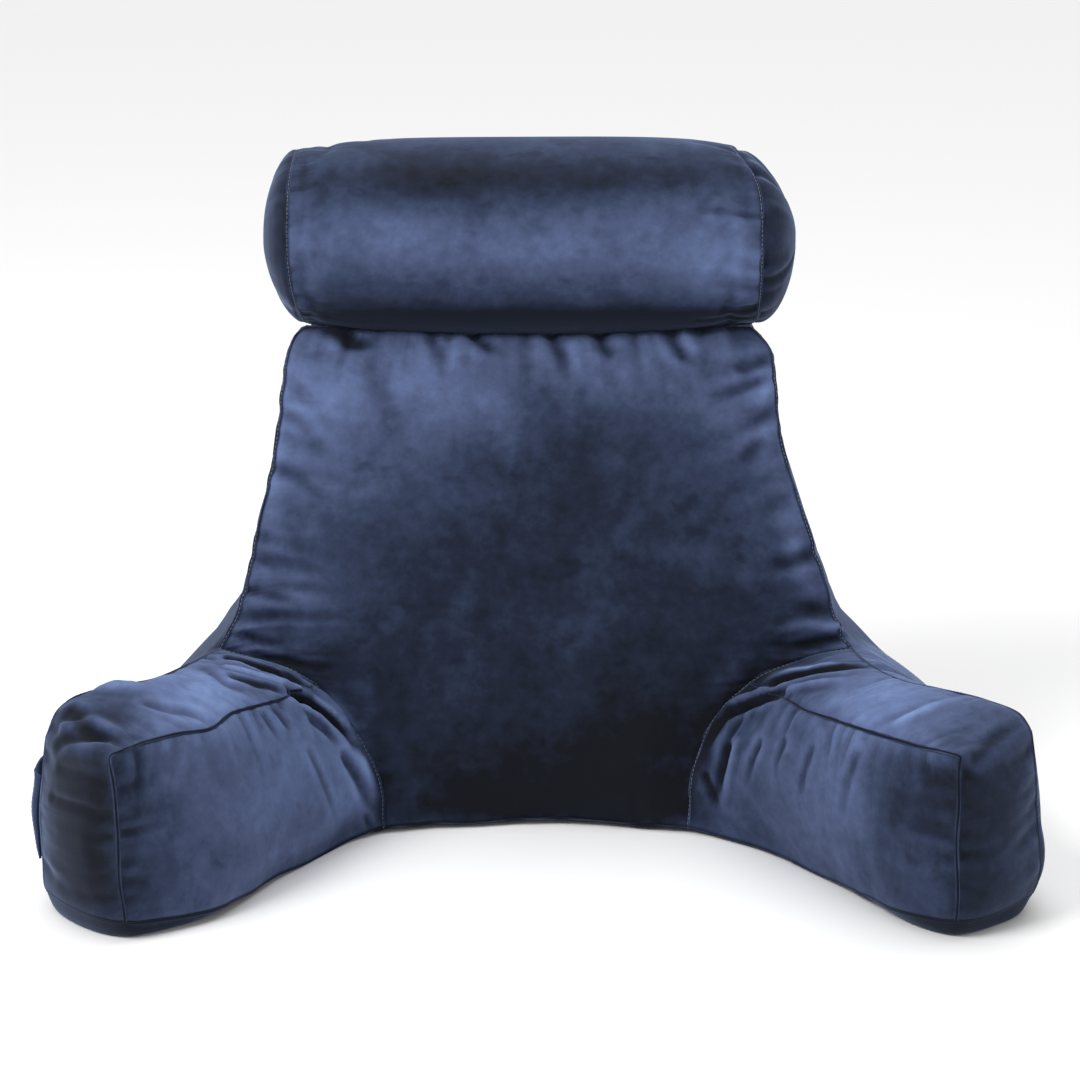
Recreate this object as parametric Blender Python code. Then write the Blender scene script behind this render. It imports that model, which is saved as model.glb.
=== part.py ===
"""Reading pillow with arms: a leaning backrest, two splayed arms, a neck roll and a side pocket.

Metres, +Z up.  The pillow faces -Y and stands on Z = 0; its left arm is at -X.
Every filled piece is built from sewn panels: four seam curves bound a panel, the filling
crowns it, and the seams stay drawn in.
"""
import bmesh
import bpy
import numpy as np

# Where the middle of the whole pillow's base lies in the drawing frame of the tables below.
BASE_MIDDLE = (-0.00104, -0.03665, 0.0)

# Front panel of the backrest
FRONT_FOOT_Y = -0.030        # foot of the panel on the middle line
FRONT_LEAN = np.radians(12)  # it leans back by this much
WRAP_SLOPE = 0.25            # its sides come forward, towards the arms, by this slope
WRAP_ROUNDING = 0.06         # half width over which the slope begins
WRAP_FADE_HEIGHT = 0.50      # the wrap would end at this height
FRONT_CROWN = 0.020

# The other panels of the backrest
BACK_FOOT_Y = 0.160
BACK_LEAN = np.radians(1.5)  # the back panel leans forward a little
BACK_CROWN = 0.024
FLANK_CROWN = 0.007
TOP_CROWN = 0.003
BACK_TUCK = 0.014            # its side seams are drawn forward by this much
CROWN_FULLNESS = 0.62        # below 1 a panel rises steeply beside its seams
BASE_CROWN = 0.040           # more than the base seams' height, so the base lies flat
BASE_FULLNESS = 0.40         # the base panels are steeper beside their seams

# Neck roll
ROLL_CENTRE = (-0.008, 0.100, 0.4350)
ROLL_HALF_LENGTH = 0.178     # from the middle to an end seam
ROLL_RADIUS = 0.0745         # at the middle
ROLL_SEAM_RADIUS = 0.0660    # drawn in at the end seams
ROLL_TAPER = 4.0             # the higher, the closer to its ends it narrows
ROLL_SIDES = 44
ROLL_RINGS = 18
DOME_RINGS = 6
DOME_DEPTH = {"left": 0.024, "right": 0.032}

# Side pocket on the outer panel of the left arm
POCKET_SIDES_Y = (-0.096, -0.179)   # its rear and its front edge
POCKET_HEIGHTS = (0.034, 0.110)     # its sewn foot and its open mouth
POCKET_STEPS = (12, 8)              # across and up
POCKET_THICKNESS = 0.002
POCKET_BOW = 0.0150                 # how far the middle of its mouth stands off
POCKET_SLACK = 0.6                  # below 1 it opens already low down

PIECE_GAP = 0.0004           # between two pieces that touch
JOINT_GAP = 0.0005           # between an arm and the backrest, whose faces are both curved
TROUGH_GAP = 0.0006          # between the roll and the trough that it lies in

# Steps of the panels' grids
LONG_STEPS = 18              # along an arm
TALL_STEPS = 11              # up an arm's side
WIDE_STEPS = 9               # across an arm
BACK_COLUMNS = 20            # across the backrest, between its arms
JOINT_COLUMNS = 7            # across its face behind an arm
DEPTH_STEPS = 14             # from its front to its back
CURVE_STEPS = 12             # between two points of a seam's table

# Half widths of the backrest: at the curved seam where an arm is sewn to its front (up to
# ARM_SEAM_TOP), at the side seams of its front panel, and at those of its back panel.
#    height, arm seam, front left, front right, back left, back right
BACKREST_ROWS = (
    (0.005, 0.116, 0.330, 0.330, 0.300, 0.300),
    (0.034, 0.118, 0.327, 0.327, 0.303, 0.303),
    (0.055, 0.122, 0.321, 0.321, 0.299, 0.299),
    (0.077, 0.131, 0.308, 0.309, 0.288, 0.289),
    (0.096, 0.144, 0.293, 0.295, 0.272, 0.275),
    (0.115, 0.163, 0.274, 0.276, 0.252, 0.256),
    (0.126, 0.183, 0.261, 0.263, 0.242, 0.247),
    (0.136, 0.209, 0.249, 0.250, 0.234, 0.239),
    (0.144, 0.238, 0.238, 0.238, 0.228, 0.232),
    (0.165, 0.238, 0.226, 0.226, 0.216, 0.219),
    (0.186, 0.238, 0.220, 0.219, 0.208, 0.210),
    (0.207, 0.238, 0.214, 0.212, 0.202, 0.202),
    (0.236, 0.238, 0.208, 0.204, 0.196, 0.193),
    (0.265, 0.238, 0.201, 0.195, 0.190, 0.184),
    (0.294, 0.238, 0.195, 0.187, 0.184, 0.177),
    (0.318, 0.238, 0.192, 0.181, 0.181, 0.172),
    (0.338, 0.238, 0.189, 0.180, 0.179, 0.171),
    (0.354, 0.238, 0.185, 0.179, 0.176, 0.170),
    (0.365, 0.238, 0.179, 0.174, 0.171, 0.166),
    (0.371, 0.238, 0.168, 0.164, 0.162, 0.158),
)
ARM_SEAM_TOP = 8             # the row where the curved seam ends at the side seam
ARM_SEAM_CORNER = 5          # the row where an arm's inner seam meets it

# Seams of the arms from the backrest forward: half width, Y, height
ARM_SEAMS = {
    "right": {
        "inner_bottom": (
            (0.140, -0.059, 0.004), (0.169, -0.085, 0.003), (0.196, -0.116, 0.003),
            (0.217, -0.148, 0.004), (0.237, -0.186, 0.006), (0.258, -0.220, 0.010),
            (0.293, -0.250, 0.014),
        ),
        "inner_top": (
            (0.181, -0.067, 0.121), (0.197, -0.110, 0.126), (0.217, -0.154, 0.130),
            (0.241, -0.190, 0.134), (0.264, -0.218, 0.137), (0.291, -0.251, 0.138),
        ),
        "outer_top": (
            (0.249, -0.090, 0.149), (0.268, -0.125, 0.150), (0.292, -0.150, 0.152),
            (0.318, -0.174, 0.153), (0.338, -0.192, 0.150), (0.347, -0.201, 0.139),
        ),
        "outer_front": (
            (0.351, -0.204, 0.107), (0.353, -0.204, 0.072), (0.356, -0.204, 0.040),
            (0.360, -0.204, 0.014),
        ),
        "outer_bottom": ((0.343, -0.120, 0.013), (0.353, -0.165, 0.014)),
        "toe_bow": 0.006,
    },
    "left": {
        "inner_bottom": (
            (0.137, -0.061, 0.004), (0.155, -0.087, 0.003), (0.174, -0.118, 0.003),
            (0.191, -0.148, 0.004), (0.211, -0.186, 0.006), (0.233, -0.219, 0.010),
            (0.285, -0.252, 0.014),
        ),
        "inner_top": (
            (0.184, -0.083, 0.122), (0.206, -0.126, 0.127), (0.229, -0.170, 0.132),
            (0.254, -0.202, 0.136), (0.276, -0.231, 0.139), (0.291, -0.251, 0.139),
        ),
        "outer_top": (
            (0.252, -0.090, 0.150), (0.272, -0.122, 0.151), (0.296, -0.143, 0.150),
            (0.319, -0.158, 0.148), (0.336, -0.172, 0.139), (0.344, -0.183, 0.123),
        ),
        "outer_front": (
            (0.349, -0.187, 0.095), (0.352, -0.188, 0.065), (0.352, -0.188, 0.036),
            (0.352, -0.188, 0.014),
        ),
        "outer_bottom": ((0.341, -0.110, 0.013), (0.347, -0.150, 0.014)),
        "toe_bow": 0.010,
    },
}
ARM_CROWNS = {"inner": 0.010, "gusset": 0.014, "outer": 0.011}

FOLD_FADE = 0.03             # folds of the front panel fade out over this height, at the arms
FOLD_LOSS = 0.6              # share of its height that a fold loses on the way to its end
SEAM_HOLD = 12               # the higher, the closer to the seams the folds reach

# Main folds of a panel: where each starts and ends in shares of the panel's two directions,
# its half width, and how far it rises (or sinks, below 0).
#    u, v, u, v, half width, rise
FOLDS = {
    "front": (
        (0.02, 0.64, 0.30, 0.60, 0.012, -0.0035),
        (0.01, 0.55, 0.30, 0.52, 0.012, -0.0045),
        (0.01, 0.48, 0.26, 0.46, 0.012, -0.0045),
        (0.99, 0.47, 0.80, 0.43, 0.014, -0.0055),
        (0.98, 0.88, 0.84, 0.80, 0.012, -0.0035),
        (0.99, 0.74, 0.84, 0.69, 0.012, -0.0035),
        (0.16, 0.99, 0.22, 0.93, 0.012, -0.0040),
        (0.46, 0.99, 0.45, 0.94, 0.012, -0.0030),
    ),
    "gusset_left": (
        (0.34, 0.80, 0.62, 0.70, 0.016, 0.0080),
        (0.52, 0.95, 0.60, 0.08, 0.011, -0.0060),
        (0.64, 0.90, 0.66, 0.10, 0.010, 0.0045),
        (0.76, 0.80, 0.78, 0.05, 0.009, -0.0040),
    ),
    "gusset_right": (
        (0.03, 0.08, 0.08, 0.95, 0.012, -0.0060),
        (0.12, 0.10, 0.16, 0.70, 0.011, -0.0040),
    ),
    "inner_left": (
        (0.06, 0.95, 0.10, 0.45, 0.011, -0.0045),
        (0.17, 0.97, 0.22, 0.60, 0.011, -0.0035),
        (0.98, 0.80, 0.80, 0.78, 0.010, -0.0035),
        (0.98, 0.66, 0.82, 0.65, 0.010, -0.0035),
    ),
    "inner_right": (
        (0.10, 0.85, 0.13, 0.35, 0.010, -0.0060),
        (0.24, 0.85, 0.27, 0.30, 0.012, -0.0035),
        (0.40, 0.88, 0.42, 0.45, 0.012, -0.0030),
        (0.80, 0.90, 0.76, 0.30, 0.018, -0.0040),
    ),
}

# Navy velvet of the cover and, a little lighter, of the roll: linear colour
VELVET = (0.045, 0.065, 0.145)
ROLL_VELVET = (0.050, 0.072, 0.160)
VELVET_ROUGHNESS = 0.85
CREASE_ANGLE = np.radians(40)   # sharper turns than this show as seams

MERGE_DISTANCE = 1e-5        # points of two grids this close are one


def through(points, count):
    """Evenly spaced points, count steps long, on a smooth curve through the given ones."""
    points = np.array(points, dtype=float)
    ends = [2 * points[0] - points[1]], [2 * points[-1] - points[-2]]
    guide = np.vstack([ends[0], points, ends[1]])
    steps = np.linspace(0.0, 1.0, CURVE_STEPS, endpoint=False)[:, None]
    curve = []
    for before, start, end, after in zip(guide, guide[1:], guide[2:], guide[3:]):
        bend = 2 * before - 5 * start + 4 * end - after
        twist = 3 * start - before - 3 * end + after
        curve.append(start + 0.5 * ((end - before) * steps + bend * steps**2 + twist * steps**3))
    curve = np.vstack(curve + [points[-1:]])
    run = np.concatenate([[0.0], np.cumsum(np.linalg.norm(np.diff(curve, axis=0), axis=1))])
    even = np.linspace(0.0, run[-1], count + 1)
    return np.stack([np.interp(even, run, curve[:, axis]) for axis in range(3)], axis=1)


def panel(low, high, near, far):
    """A surface between four seams: low and high run along u, near and far along v."""
    u = np.linspace(0.0, 1.0, len(low))[None, :, None]
    v = np.linspace(0.0, 1.0, len(near))[:, None, None]
    along_v = (1 - v) * low[None] + v * high[None]
    along_u = (1 - u) * near[:, None] + u * far[:, None]
    corners = (1 - v) * ((1 - u) * low[0] + u * low[-1]) + v * ((1 - u) * high[0] + u * high[-1])
    return along_v + along_u - corners


def shares(grid):
    """The u and v of every point of a grid, from 0 to 1."""
    rows, columns = grid.shape[:2]
    return np.meshgrid(np.linspace(0.0, 1.0, columns), np.linspace(0.0, 1.0, rows))


def outward_normals(grid, core):
    """Unit normals of a grid, on the side away from the piece's core."""
    normals = np.cross(np.gradient(grid, axis=1), np.gradient(grid, axis=0))
    normals /= np.maximum(np.linalg.norm(normals, axis=2, keepdims=True), 1e-12)
    if np.sum(normals * (grid - core)) < 0:
        normals = -normals
    return normals


def fold_relief(grid, folds, u, v):
    """How far the folds lift each point of a panel: none at its seams."""
    width = np.linalg.norm(np.diff(grid, axis=1), axis=2).sum(axis=1).mean()
    height = np.linalg.norm(np.diff(grid, axis=0), axis=2).sum(axis=0).mean()
    relief = np.zeros_like(u)
    for u0, v0, u1, v1, half_width, rise in folds:
        run = np.array([(u1 - u0) * width, (v1 - v0) * height])
        from_start = np.stack([(u - u0) * width, (v - v0) * height])
        share = np.clip(np.tensordot(run, from_start, 1) / (run @ run), 0.0, 1.0)
        apart = np.hypot(from_start[0] - share * run[0], from_start[1] - share * run[1])
        relief += rise * np.exp(-(apart / half_width) ** 2) * (1 - FOLD_LOSS * share)
    held_u = np.minimum(1.0, SEAM_HOLD * u * (1 - u))
    held_v = np.minimum(1.0, SEAM_HOLD * v * (1 - v))
    return relief * held_u * held_v


def crowned(grid, core, crown, folds=()):
    """Swell a panel between its seams, and lay its folds."""
    u, v = shares(grid)
    fullness = (16 * u * (1 - u) * v * (1 - v)) ** CROWN_FULLNESS
    lift = crown * fullness + fold_relief(grid, folds, u, v)
    return grid + outward_normals(grid, core) * lift[:, :, None]


def laid_base(grid):
    """A base panel: it swells down from its seams and lies flat on Z = 0."""
    u, v = shares(grid)
    base = grid.copy()
    base[:, :, 2] -= BASE_CROWN * (16 * u * (1 - u) * v * (1 - v)) ** BASE_FULLNESS
    base[:, :, 2] = np.maximum(base[:, :, 2], 0.0)
    return base


def velvet(name, colour):
    material = bpy.data.materials.new(name)
    material.use_nodes = True
    shader = material.node_tree.nodes["Principled BSDF"]
    shader.inputs["Base Color"].default_value = (*colour, 1.0)
    shader.inputs["Roughness"].default_value = VELVET_ROUGHNESS
    shader.inputs["Metallic"].default_value = 0.0
    return material


def add_piece(name, grids, colour, place=(0.0, 0.0, 0.0)):
    """One closed object from the grids that bound it, whose edges meet point for point."""
    mesh = bmesh.new()
    for grid in grids:
        corners = [[mesh.verts.new(point) for point in row] for row in grid]
        for low, high in zip(corners, corners[1:]):
            for a, b, c, d in zip(low, low[1:], high[1:], high):
                mesh.faces.new((a, b, c, d))
    bmesh.ops.remove_doubles(mesh, verts=mesh.verts[:], dist=MERGE_DISTANCE)
    bmesh.ops.dissolve_degenerate(mesh, edges=mesh.edges[:], dist=MERGE_DISTANCE)
    bmesh.ops.triangulate(mesh, faces=mesh.faces[:], quad_method="FIXED")
    bmesh.ops.recalc_face_normals(mesh, faces=mesh.faces[:])
    data = bpy.data.meshes.new(name)
    mesh.to_mesh(data)
    mesh.free()
    data.materials.append(velvet(name + "_velvet", colour))
    data.shade_smooth()
    data.set_sharp_from_angle(angle=CREASE_ANGLE)
    piece = bpy.data.objects.new(name, data)
    piece.location = place
    piece.parent = bpy.data.objects["reading_pillow"]
    bpy.context.scene.collection.objects.link(piece)
    return piece


def joint_y(x, z):
    """Y of the leaning, wrapped surface that the arms are sewn to."""
    wrap = WRAP_SLOPE * (np.hypot(x, WRAP_ROUNDING) - WRAP_ROUNDING)
    return FRONT_FOOT_Y + z * np.tan(FRONT_LEAN) - wrap * (1 - z / WRAP_FADE_HEIGHT)


def roll_radius(along):
    """Radius of the roll at a distance from its middle."""
    share = np.minimum(np.abs(along) / ROLL_HALF_LENGTH, 1.0)
    return ROLL_RADIUS - (ROLL_RADIUS - ROLL_SEAM_RADIUS) * share**ROLL_TAPER


def pressed_by_roll(grid):
    """Press the trough that the roll lies in into a grid of points."""
    x, y, z = np.moveaxis(grid, -1, 0)
    radius = roll_radius(x - ROLL_CENTRE[0]) + TROUGH_GAP
    depth = np.sqrt(np.maximum(radius**2 - (y - ROLL_CENTRE[1]) ** 2, 0.0))
    return np.stack([x, y, np.minimum(z, ROLL_CENTRE[2] - depth)], axis=-1)


def columns_to(seam, edge):
    """Places across the backrest's right half: first to the arm's seam, then to the side seam."""
    inner = np.linspace(0.0, 1.0, BACK_COLUMNS // 2 + 1)
    outer = np.linspace(0.0, 1.0, JOINT_COLUMNS + 1)[1:]
    seam = np.minimum(seam, edge)[:, None]
    return np.hstack([seam * inner, seam + (edge[:, None] - seam) * outer])


def build_backrest():
    rows = np.array(BACKREST_ROWS)
    height, seam, front_left, front_right, back_left, back_right = rows.T
    core = np.array((0.0, 0.06, 0.17))

    left_half = -columns_to(seam, front_left)[:, ::-1]
    front_x = np.hstack([left_half, columns_to(seam, front_right)[:, 1:]])
    z = np.broadcast_to(height[:, None], front_x.shape)
    edge = np.where(front_x < 0, np.minimum(seam, front_left)[:, None],
                    np.minimum(seam, front_right)[:, None])
    across = np.clip(1 - (front_x / edge) ** 2, 0.0, 1.0)
    up = (z - height[0]) / (height[-1] - height[0])
    swell = FRONT_CROWN * (across * 4 * up * (1 - up)) ** CROWN_FULLNESS
    front = np.stack([front_x, joint_y(front_x, z), z], axis=2)
    above_arms = np.clip((z - height[ARM_SEAM_TOP]) / FOLD_FADE, 0.0, 1.0)
    relief = fold_relief(front, FOLDS["front"], (1 + front_x / edge) / 2, up)
    front[:, :, 1] -= swell + relief * above_arms

    back_share = np.linspace(-1.0, 1.0, front_x.shape[1])
    back_x = np.where(back_share < 0, back_left[:, None], back_right[:, None]) * back_share
    back_y = BACK_FOOT_Y - z * np.tan(BACK_LEAN) - BACK_TUCK * back_share**4
    back = np.stack([back_x, back_y, z], axis=2)

    flanks = []
    for column in (0, -1):
        share = np.linspace(0.0, 1.0, DEPTH_STEPS + 1)[None, :, None]
        flank = (1 - share) * front[:, column][:, None] + share * back[:, column][:, None]
        flanks.append(pressed_by_roll(flank))
    left, right = flanks
    base = laid_base(panel(front[0], back[0], left[0], right[0]))
    top = panel(front[-1], back[-1], left[-1], right[-1])
    u, v = shares(top)
    top[:, :, 2] += TOP_CROWN * (16 * u * (1 - u) * v * (1 - v)) ** CROWN_FULLNESS
    top = pressed_by_roll(top)
    back = crowned(back, core, BACK_CROWN)
    left = pressed_by_roll(crowned(left, core, FLANK_CROWN))
    right = pressed_by_roll(crowned(right, core, FLANK_CROWN))
    add_piece("backrest", (front, back, left, right, base, top), VELVET)


def arm_panels(side):
    """The panels of one arm: grids from the backrest forward, from the inside out."""
    seams = ARM_SEAMS[side]
    sign = -1.0 if side == "left" else 1.0
    rows = np.array(BACKREST_ROWS)
    outline = rows[:, 2] if side == "left" else rows[:, 3]

    def on_joint(points):
        x, z = points[:, 0], points[:, -1]
        return np.stack([x, joint_y(x, z) - JOINT_GAP, z], axis=1)

    arc = on_joint(rows[:ARM_SEAM_TOP + 1, (1, 0)])
    flare = on_joint(np.stack([outline, rows[:, 0]], axis=1)[:ARM_SEAM_TOP + 1])
    rear_inner = on_joint(through(arc[:ARM_SEAM_CORNER + 1], TALL_STEPS))
    rear_top = on_joint(through(arc[ARM_SEAM_CORNER:], WIDE_STEPS))
    rear_outer = on_joint(through(flare, TALL_STEPS))
    inner_bottom = through([rear_inner[0], *seams["inner_bottom"]], LONG_STEPS)
    inner_top = through([rear_inner[-1], *seams["inner_top"]], LONG_STEPS)
    outer_top = through([rear_top[-1], *seams["outer_top"]], LONG_STEPS)
    outer_front = through([outer_top[-1], *seams["outer_front"]], TALL_STEPS)[::-1]
    outer_bottom = through([rear_outer[0], *seams["outer_bottom"], outer_front[0]], LONG_STEPS)
    inner_front = through([inner_bottom[-1], inner_top[-1]], TALL_STEPS)
    toe = through([inner_bottom[-1], outer_front[0]], WIDE_STEPS)
    toe_share = np.linspace(0.0, 1.0, WIDE_STEPS + 1)
    toe[:, 1] -= seams["toe_bow"] * 4 * toe_share * (1 - toe_share)
    rear_bottom = on_joint(np.linspace(rear_inner[0], rear_outer[0], WIDE_STEPS + 1))

    inner_edge = np.vstack([inner_top, inner_front[::-1][1:]])
    outer_edge = np.vstack([outer_top, outer_front[::-1][1:]])
    rear = panel(rear_bottom, rear_top, rear_inner, rear_outer)
    rear[:, :, 1] = joint_y(rear[:, :, 0], rear[:, :, 2]) - JOINT_GAP
    grids = {
        "inner": panel(inner_bottom, inner_top, rear_inner, inner_front),
        "gusset": panel(inner_edge, outer_edge, rear_top, toe),
        "outer": panel(outer_bottom, outer_top, rear_outer, outer_front),
        "base": laid_base(panel(inner_bottom, outer_bottom, rear_bottom, toe)),
        "rear": rear,
    }
    core = grids["base"].mean(axis=(0, 1)) * 0.5 + grids["gusset"].mean(axis=(0, 1)) * 0.5
    for name, crown in ARM_CROWNS.items():
        folds = FOLDS.get(name + "_" + side, ())
        grids[name] = crowned(grids[name], core, crown, folds)
    for grid in grids.values():
        grid[:, :, 0] *= sign
    return grids


def build_arm(side):
    add_piece("arm_" + side, arm_panels(side).values(), VELVET)


def turned(profile, sides):
    """A grid turned about X from (along, radius) pairs."""
    angle = np.linspace(0.0, 2 * np.pi, sides + 1)
    angle[-1] = 0.0
    along, radius = np.array(profile).T
    x = np.broadcast_to(along[:, None], (len(along), sides + 1))
    y = radius[:, None] * np.sin(angle)[None, :]
    z = radius[:, None] * np.cos(angle)[None, :]
    return np.stack([x, y, z], axis=2)


def build_neck_roll():
    share = np.linspace(-1.0, 1.0, ROLL_RINGS + 1)
    along = ROLL_HALF_LENGTH * np.sin(share * np.pi / 2)
    profile = [(-ROLL_HALF_LENGTH, 0.0)]
    profile += [(x, roll_radius(x)) for x in along]
    profile += [(ROLL_HALF_LENGTH, 0.0)]
    add_piece("neck_roll", [turned(profile, ROLL_SIDES)], ROLL_VELVET, ROLL_CENTRE)


def build_roll_end(side):
    """A domed end panel, sewn to the roll's end seam."""
    sign = -1.0 if side == "left" else 1.0
    start = ROLL_HALF_LENGTH + PIECE_GAP
    depth = DOME_DEPTH[side]
    profile = [(start, 0.0)]
    for angle in np.linspace(0.0, np.pi / 2, DOME_RINGS + 1):
        profile.append((start + depth * np.sin(angle), ROLL_SEAM_RADIUS * np.cos(angle)))
    profile[-1] = (start + depth, 0.0)
    profile = [(sign * along, radius) for along, radius in profile]
    add_piece("neck_roll_end_" + side, [turned(profile, ROLL_SIDES)], ROLL_VELVET, ROLL_CENTRE)


def build_side_pocket():
    """A bowed patch pocket: sewn at its foot and its two sides, open at its mouth."""
    arm = arm_panels("left")
    outer = arm["outer"]
    core = (arm["inner"] + outer).mean(axis=(0, 1)) / 2
    both = np.concatenate([outer, outward_normals(outer, core)], axis=2)
    across = np.linspace(*POCKET_SIDES_Y, POCKET_STEPS[0] + 1)
    up = np.linspace(*POCKET_HEIGHTS, POCKET_STEPS[1] + 1)
    rows = [[np.interp(up, row[:, 2], row[:, axis]) for axis in range(6)]
            for row in np.moveaxis(both, 1, 0)]
    columns = np.array(rows).transpose(2, 0, 1)
    wall = np.array([[np.interp(-across, -row[:, 1], row[:, axis]) for axis in range(6)]
                     for row in columns]).transpose(0, 2, 1)
    u, v = shares(wall)
    bow = POCKET_BOW * (4 * u * (1 - u)) ** 0.5 * v**POCKET_SLACK
    inside = wall[:, :, :3] + wall[:, :, 3:] * (PIECE_GAP + bow)[:, :, None]
    outside = inside + wall[:, :, 3:] * POCKET_THICKNESS
    rim = [
        np.stack([inside[0], outside[0]]),
        np.stack([inside[-1], outside[-1]]),
        np.stack([inside[:, 0], outside[:, 0]]),
        np.stack([inside[:, -1], outside[:, -1]]),
    ]
    add_piece("side_pocket", [inside, outside, *rim], VELVET)


def build():
    for left_over in list(bpy.data.objects):
        bpy.data.objects.remove(left_over, do_unlink=True)
    pillow = bpy.data.objects.new("reading_pillow", None)
    pillow.location = [-middle for middle in BASE_MIDDLE]
    bpy.context.scene.collection.objects.link(pillow)
    build_backrest()
    build_neck_roll()
    for side in ("left", "right"):
        build_arm(side)
        build_roll_end(side)
    build_side_pocket()


build()
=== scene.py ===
# Reading pillow with arms: the velvet cover, its seams and its stitching
import bmesh
import bpy
import time
import numpy as np
from itertools import count
from math import radians, pi
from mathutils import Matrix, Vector
from mathutils.bvhtree import BVHTree


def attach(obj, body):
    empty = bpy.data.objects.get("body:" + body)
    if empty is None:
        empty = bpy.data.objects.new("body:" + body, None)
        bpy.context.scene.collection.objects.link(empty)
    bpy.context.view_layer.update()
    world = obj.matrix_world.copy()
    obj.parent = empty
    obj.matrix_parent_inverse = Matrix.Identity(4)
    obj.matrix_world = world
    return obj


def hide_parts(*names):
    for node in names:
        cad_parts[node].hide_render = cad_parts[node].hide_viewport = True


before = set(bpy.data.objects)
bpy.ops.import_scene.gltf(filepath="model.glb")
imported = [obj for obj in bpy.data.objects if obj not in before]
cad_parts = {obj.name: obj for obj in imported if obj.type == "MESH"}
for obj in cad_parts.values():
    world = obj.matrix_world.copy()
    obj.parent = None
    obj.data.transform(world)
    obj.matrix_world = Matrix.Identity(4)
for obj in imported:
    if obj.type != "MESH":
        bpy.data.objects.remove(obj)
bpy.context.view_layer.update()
scene = bpy.context.scene
root = "root"                             # nothing moves, so there is one body
began = time.time()


def report(stage):
    print("pillow: %s (%.0f s)" % (stage, time.time() - began))


# curves and surfaces of the cut pieces

def unit(vectors):
    return vectors / np.maximum(np.linalg.norm(vectors, axis=-1, keepdims=True), 1e-12)


def runAlong(line):
    # how far along the line each of its points lies
    return np.concatenate([[0], np.cumsum(np.linalg.norm(np.diff(line, axis=0), axis=1))])


def between(at, knots, points):
    return np.stack([np.interp(at, knots, points[:, axis]) for axis in range(3)], axis=1)


def blurred(points, weights):
    # each point mixed with its neighbours along the line
    half = len(weights) // 2
    padded, kernel = np.pad(points, ((half, half), (0, 0)), mode="edge"), np.array(weights) / sum(weights)
    return np.stack([np.convolve(padded[:, axis], kernel, mode="valid") for axis in range(3)], axis=1)


def smoothThrough(points, steps, fine=24):
    # evenly spaced points on a smooth curve through the given ones
    points = np.array(points, dtype=float)
    guide = np.vstack([2 * points[0] - points[1], points, 2 * points[-1] - points[-2]])
    t = np.linspace(0, 1, fine, endpoint=False)[:, None]
    curve = []
    for before, start, end, after in zip(guide, guide[1:], guide[2:], guide[3:]):
        bend = 2 * before - 5 * start + 4 * end - after
        twist = 3 * start - before - 3 * end + after
        curve.append(start + 0.5 * ((end - before) * t + bend * t**2 + twist * t**3))
    curve = np.vstack(curve + [points[-1:]])
    run = runAlong(curve)
    return between(np.linspace(0, run[-1], steps + 1), run, curve)


def straight(start, end, steps):
    t = np.linspace(0, 1, steps + 1)[:, None]
    return (1 - t) * np.array(start) + t * np.array(end)


def panelBetween(low, high, near, far):
    # a surface between four seams; its edges are exactly those seams
    u = np.linspace(0, 1, len(low))[None, :, None]
    v = np.linspace(0, 1, len(near))[:, None, None]
    corners = (1 - v) * ((1 - u) * low[0] + u * low[-1]) + v * ((1 - u) * high[0] + u * high[-1])
    grid = (1 - v) * low[None] + v * high[None] + (1 - u) * near[:, None] + u * far[:, None] - corners
    grid[0], grid[-1], grid[:, 0], grid[:, -1] = low, high, near, far
    return grid


def shareOf(grid):
    # how far across and how far up each point of a panel lies, 0 to 1
    rows, columns = grid.shape[:2]
    return np.meshgrid(np.linspace(0, 1, columns), np.linspace(0, 1, rows))


def sizeOf(grid):
    # width and height of a panel, measured along its cloth
    return tuple(np.linalg.norm(np.diff(grid, axis=axis), axis=2).sum(axis=axis).mean() for axis in (1, 0))


def quadsOf(rows, columns, first=0):
    number = np.arange(rows * columns).reshape(rows, columns) + first
    sides = (number[:-1, :-1], number[:-1, 1:], number[1:, 1:], number[1:, :-1])
    return np.stack(sides, axis=-1).reshape(-1, 4)


def domed(u, v, fullness=0.62):
    # 0 along the seams and 1 in the middle; less fullness makes the middle flatter
    return (16 * u * (1 - u) * v * (1 - v)) ** fullness


def lifted(grid, core, lift):
    # the panel pushed out, away from the core of its cushion
    normal = unit(np.cross(np.gradient(grid, axis=1), np.gradient(grid, axis=0)))
    out = normal if np.sum(normal * (grid - core)) > 0 else -normal
    return grid + out * lift[:, :, None]


def swell(grid, core, crown, bend=None, tight=0.75, reach=5.0):
    # the filling crowns the panel and its seams stay drawn in; near a bend the cloth is tight
    lift = crown * domed(*shareOf(grid))
    if bend is not None:
        lift *= 1 - tight * np.exp(-((np.arange(grid.shape[1]) - bend) / reach) ** 2)
    return lifted(grid, core, lift)


def relaxed(grid, passes):
    # evens out the threads of a panel; its edges stay
    grid = grid.copy()
    for _ in range(passes):
        grid[1:-1, 1:-1] = (grid[:-2, 1:-1] + grid[2:, 1:-1] + grid[1:-1, :-2] + grid[1:-1, 2:]) / 4
    return grid


def swellFromSeams(grid, edges, core, crown, reach, fullness=0.62, blur=5.0, lot=2000):
    # for a panel with a bent outline: the crown grows with the distance from its seams
    flat = grid.reshape(-1, 3)
    near = np.zeros(len(flat))
    for start in range(0, len(flat), lot):
        gap = np.linalg.norm(flat[start:start + lot, None] - edges[None], axis=2)
        near[start:start + lot] = np.mean(np.maximum(gap, 1e-5) ** -blur, axis=1) ** (-1 / blur)
    lift = crown * (1 - np.exp(-(near / reach) ** 1.4)).reshape(grid.shape[:2]) ** fullness
    return lifted(grid, core, lift)


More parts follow.
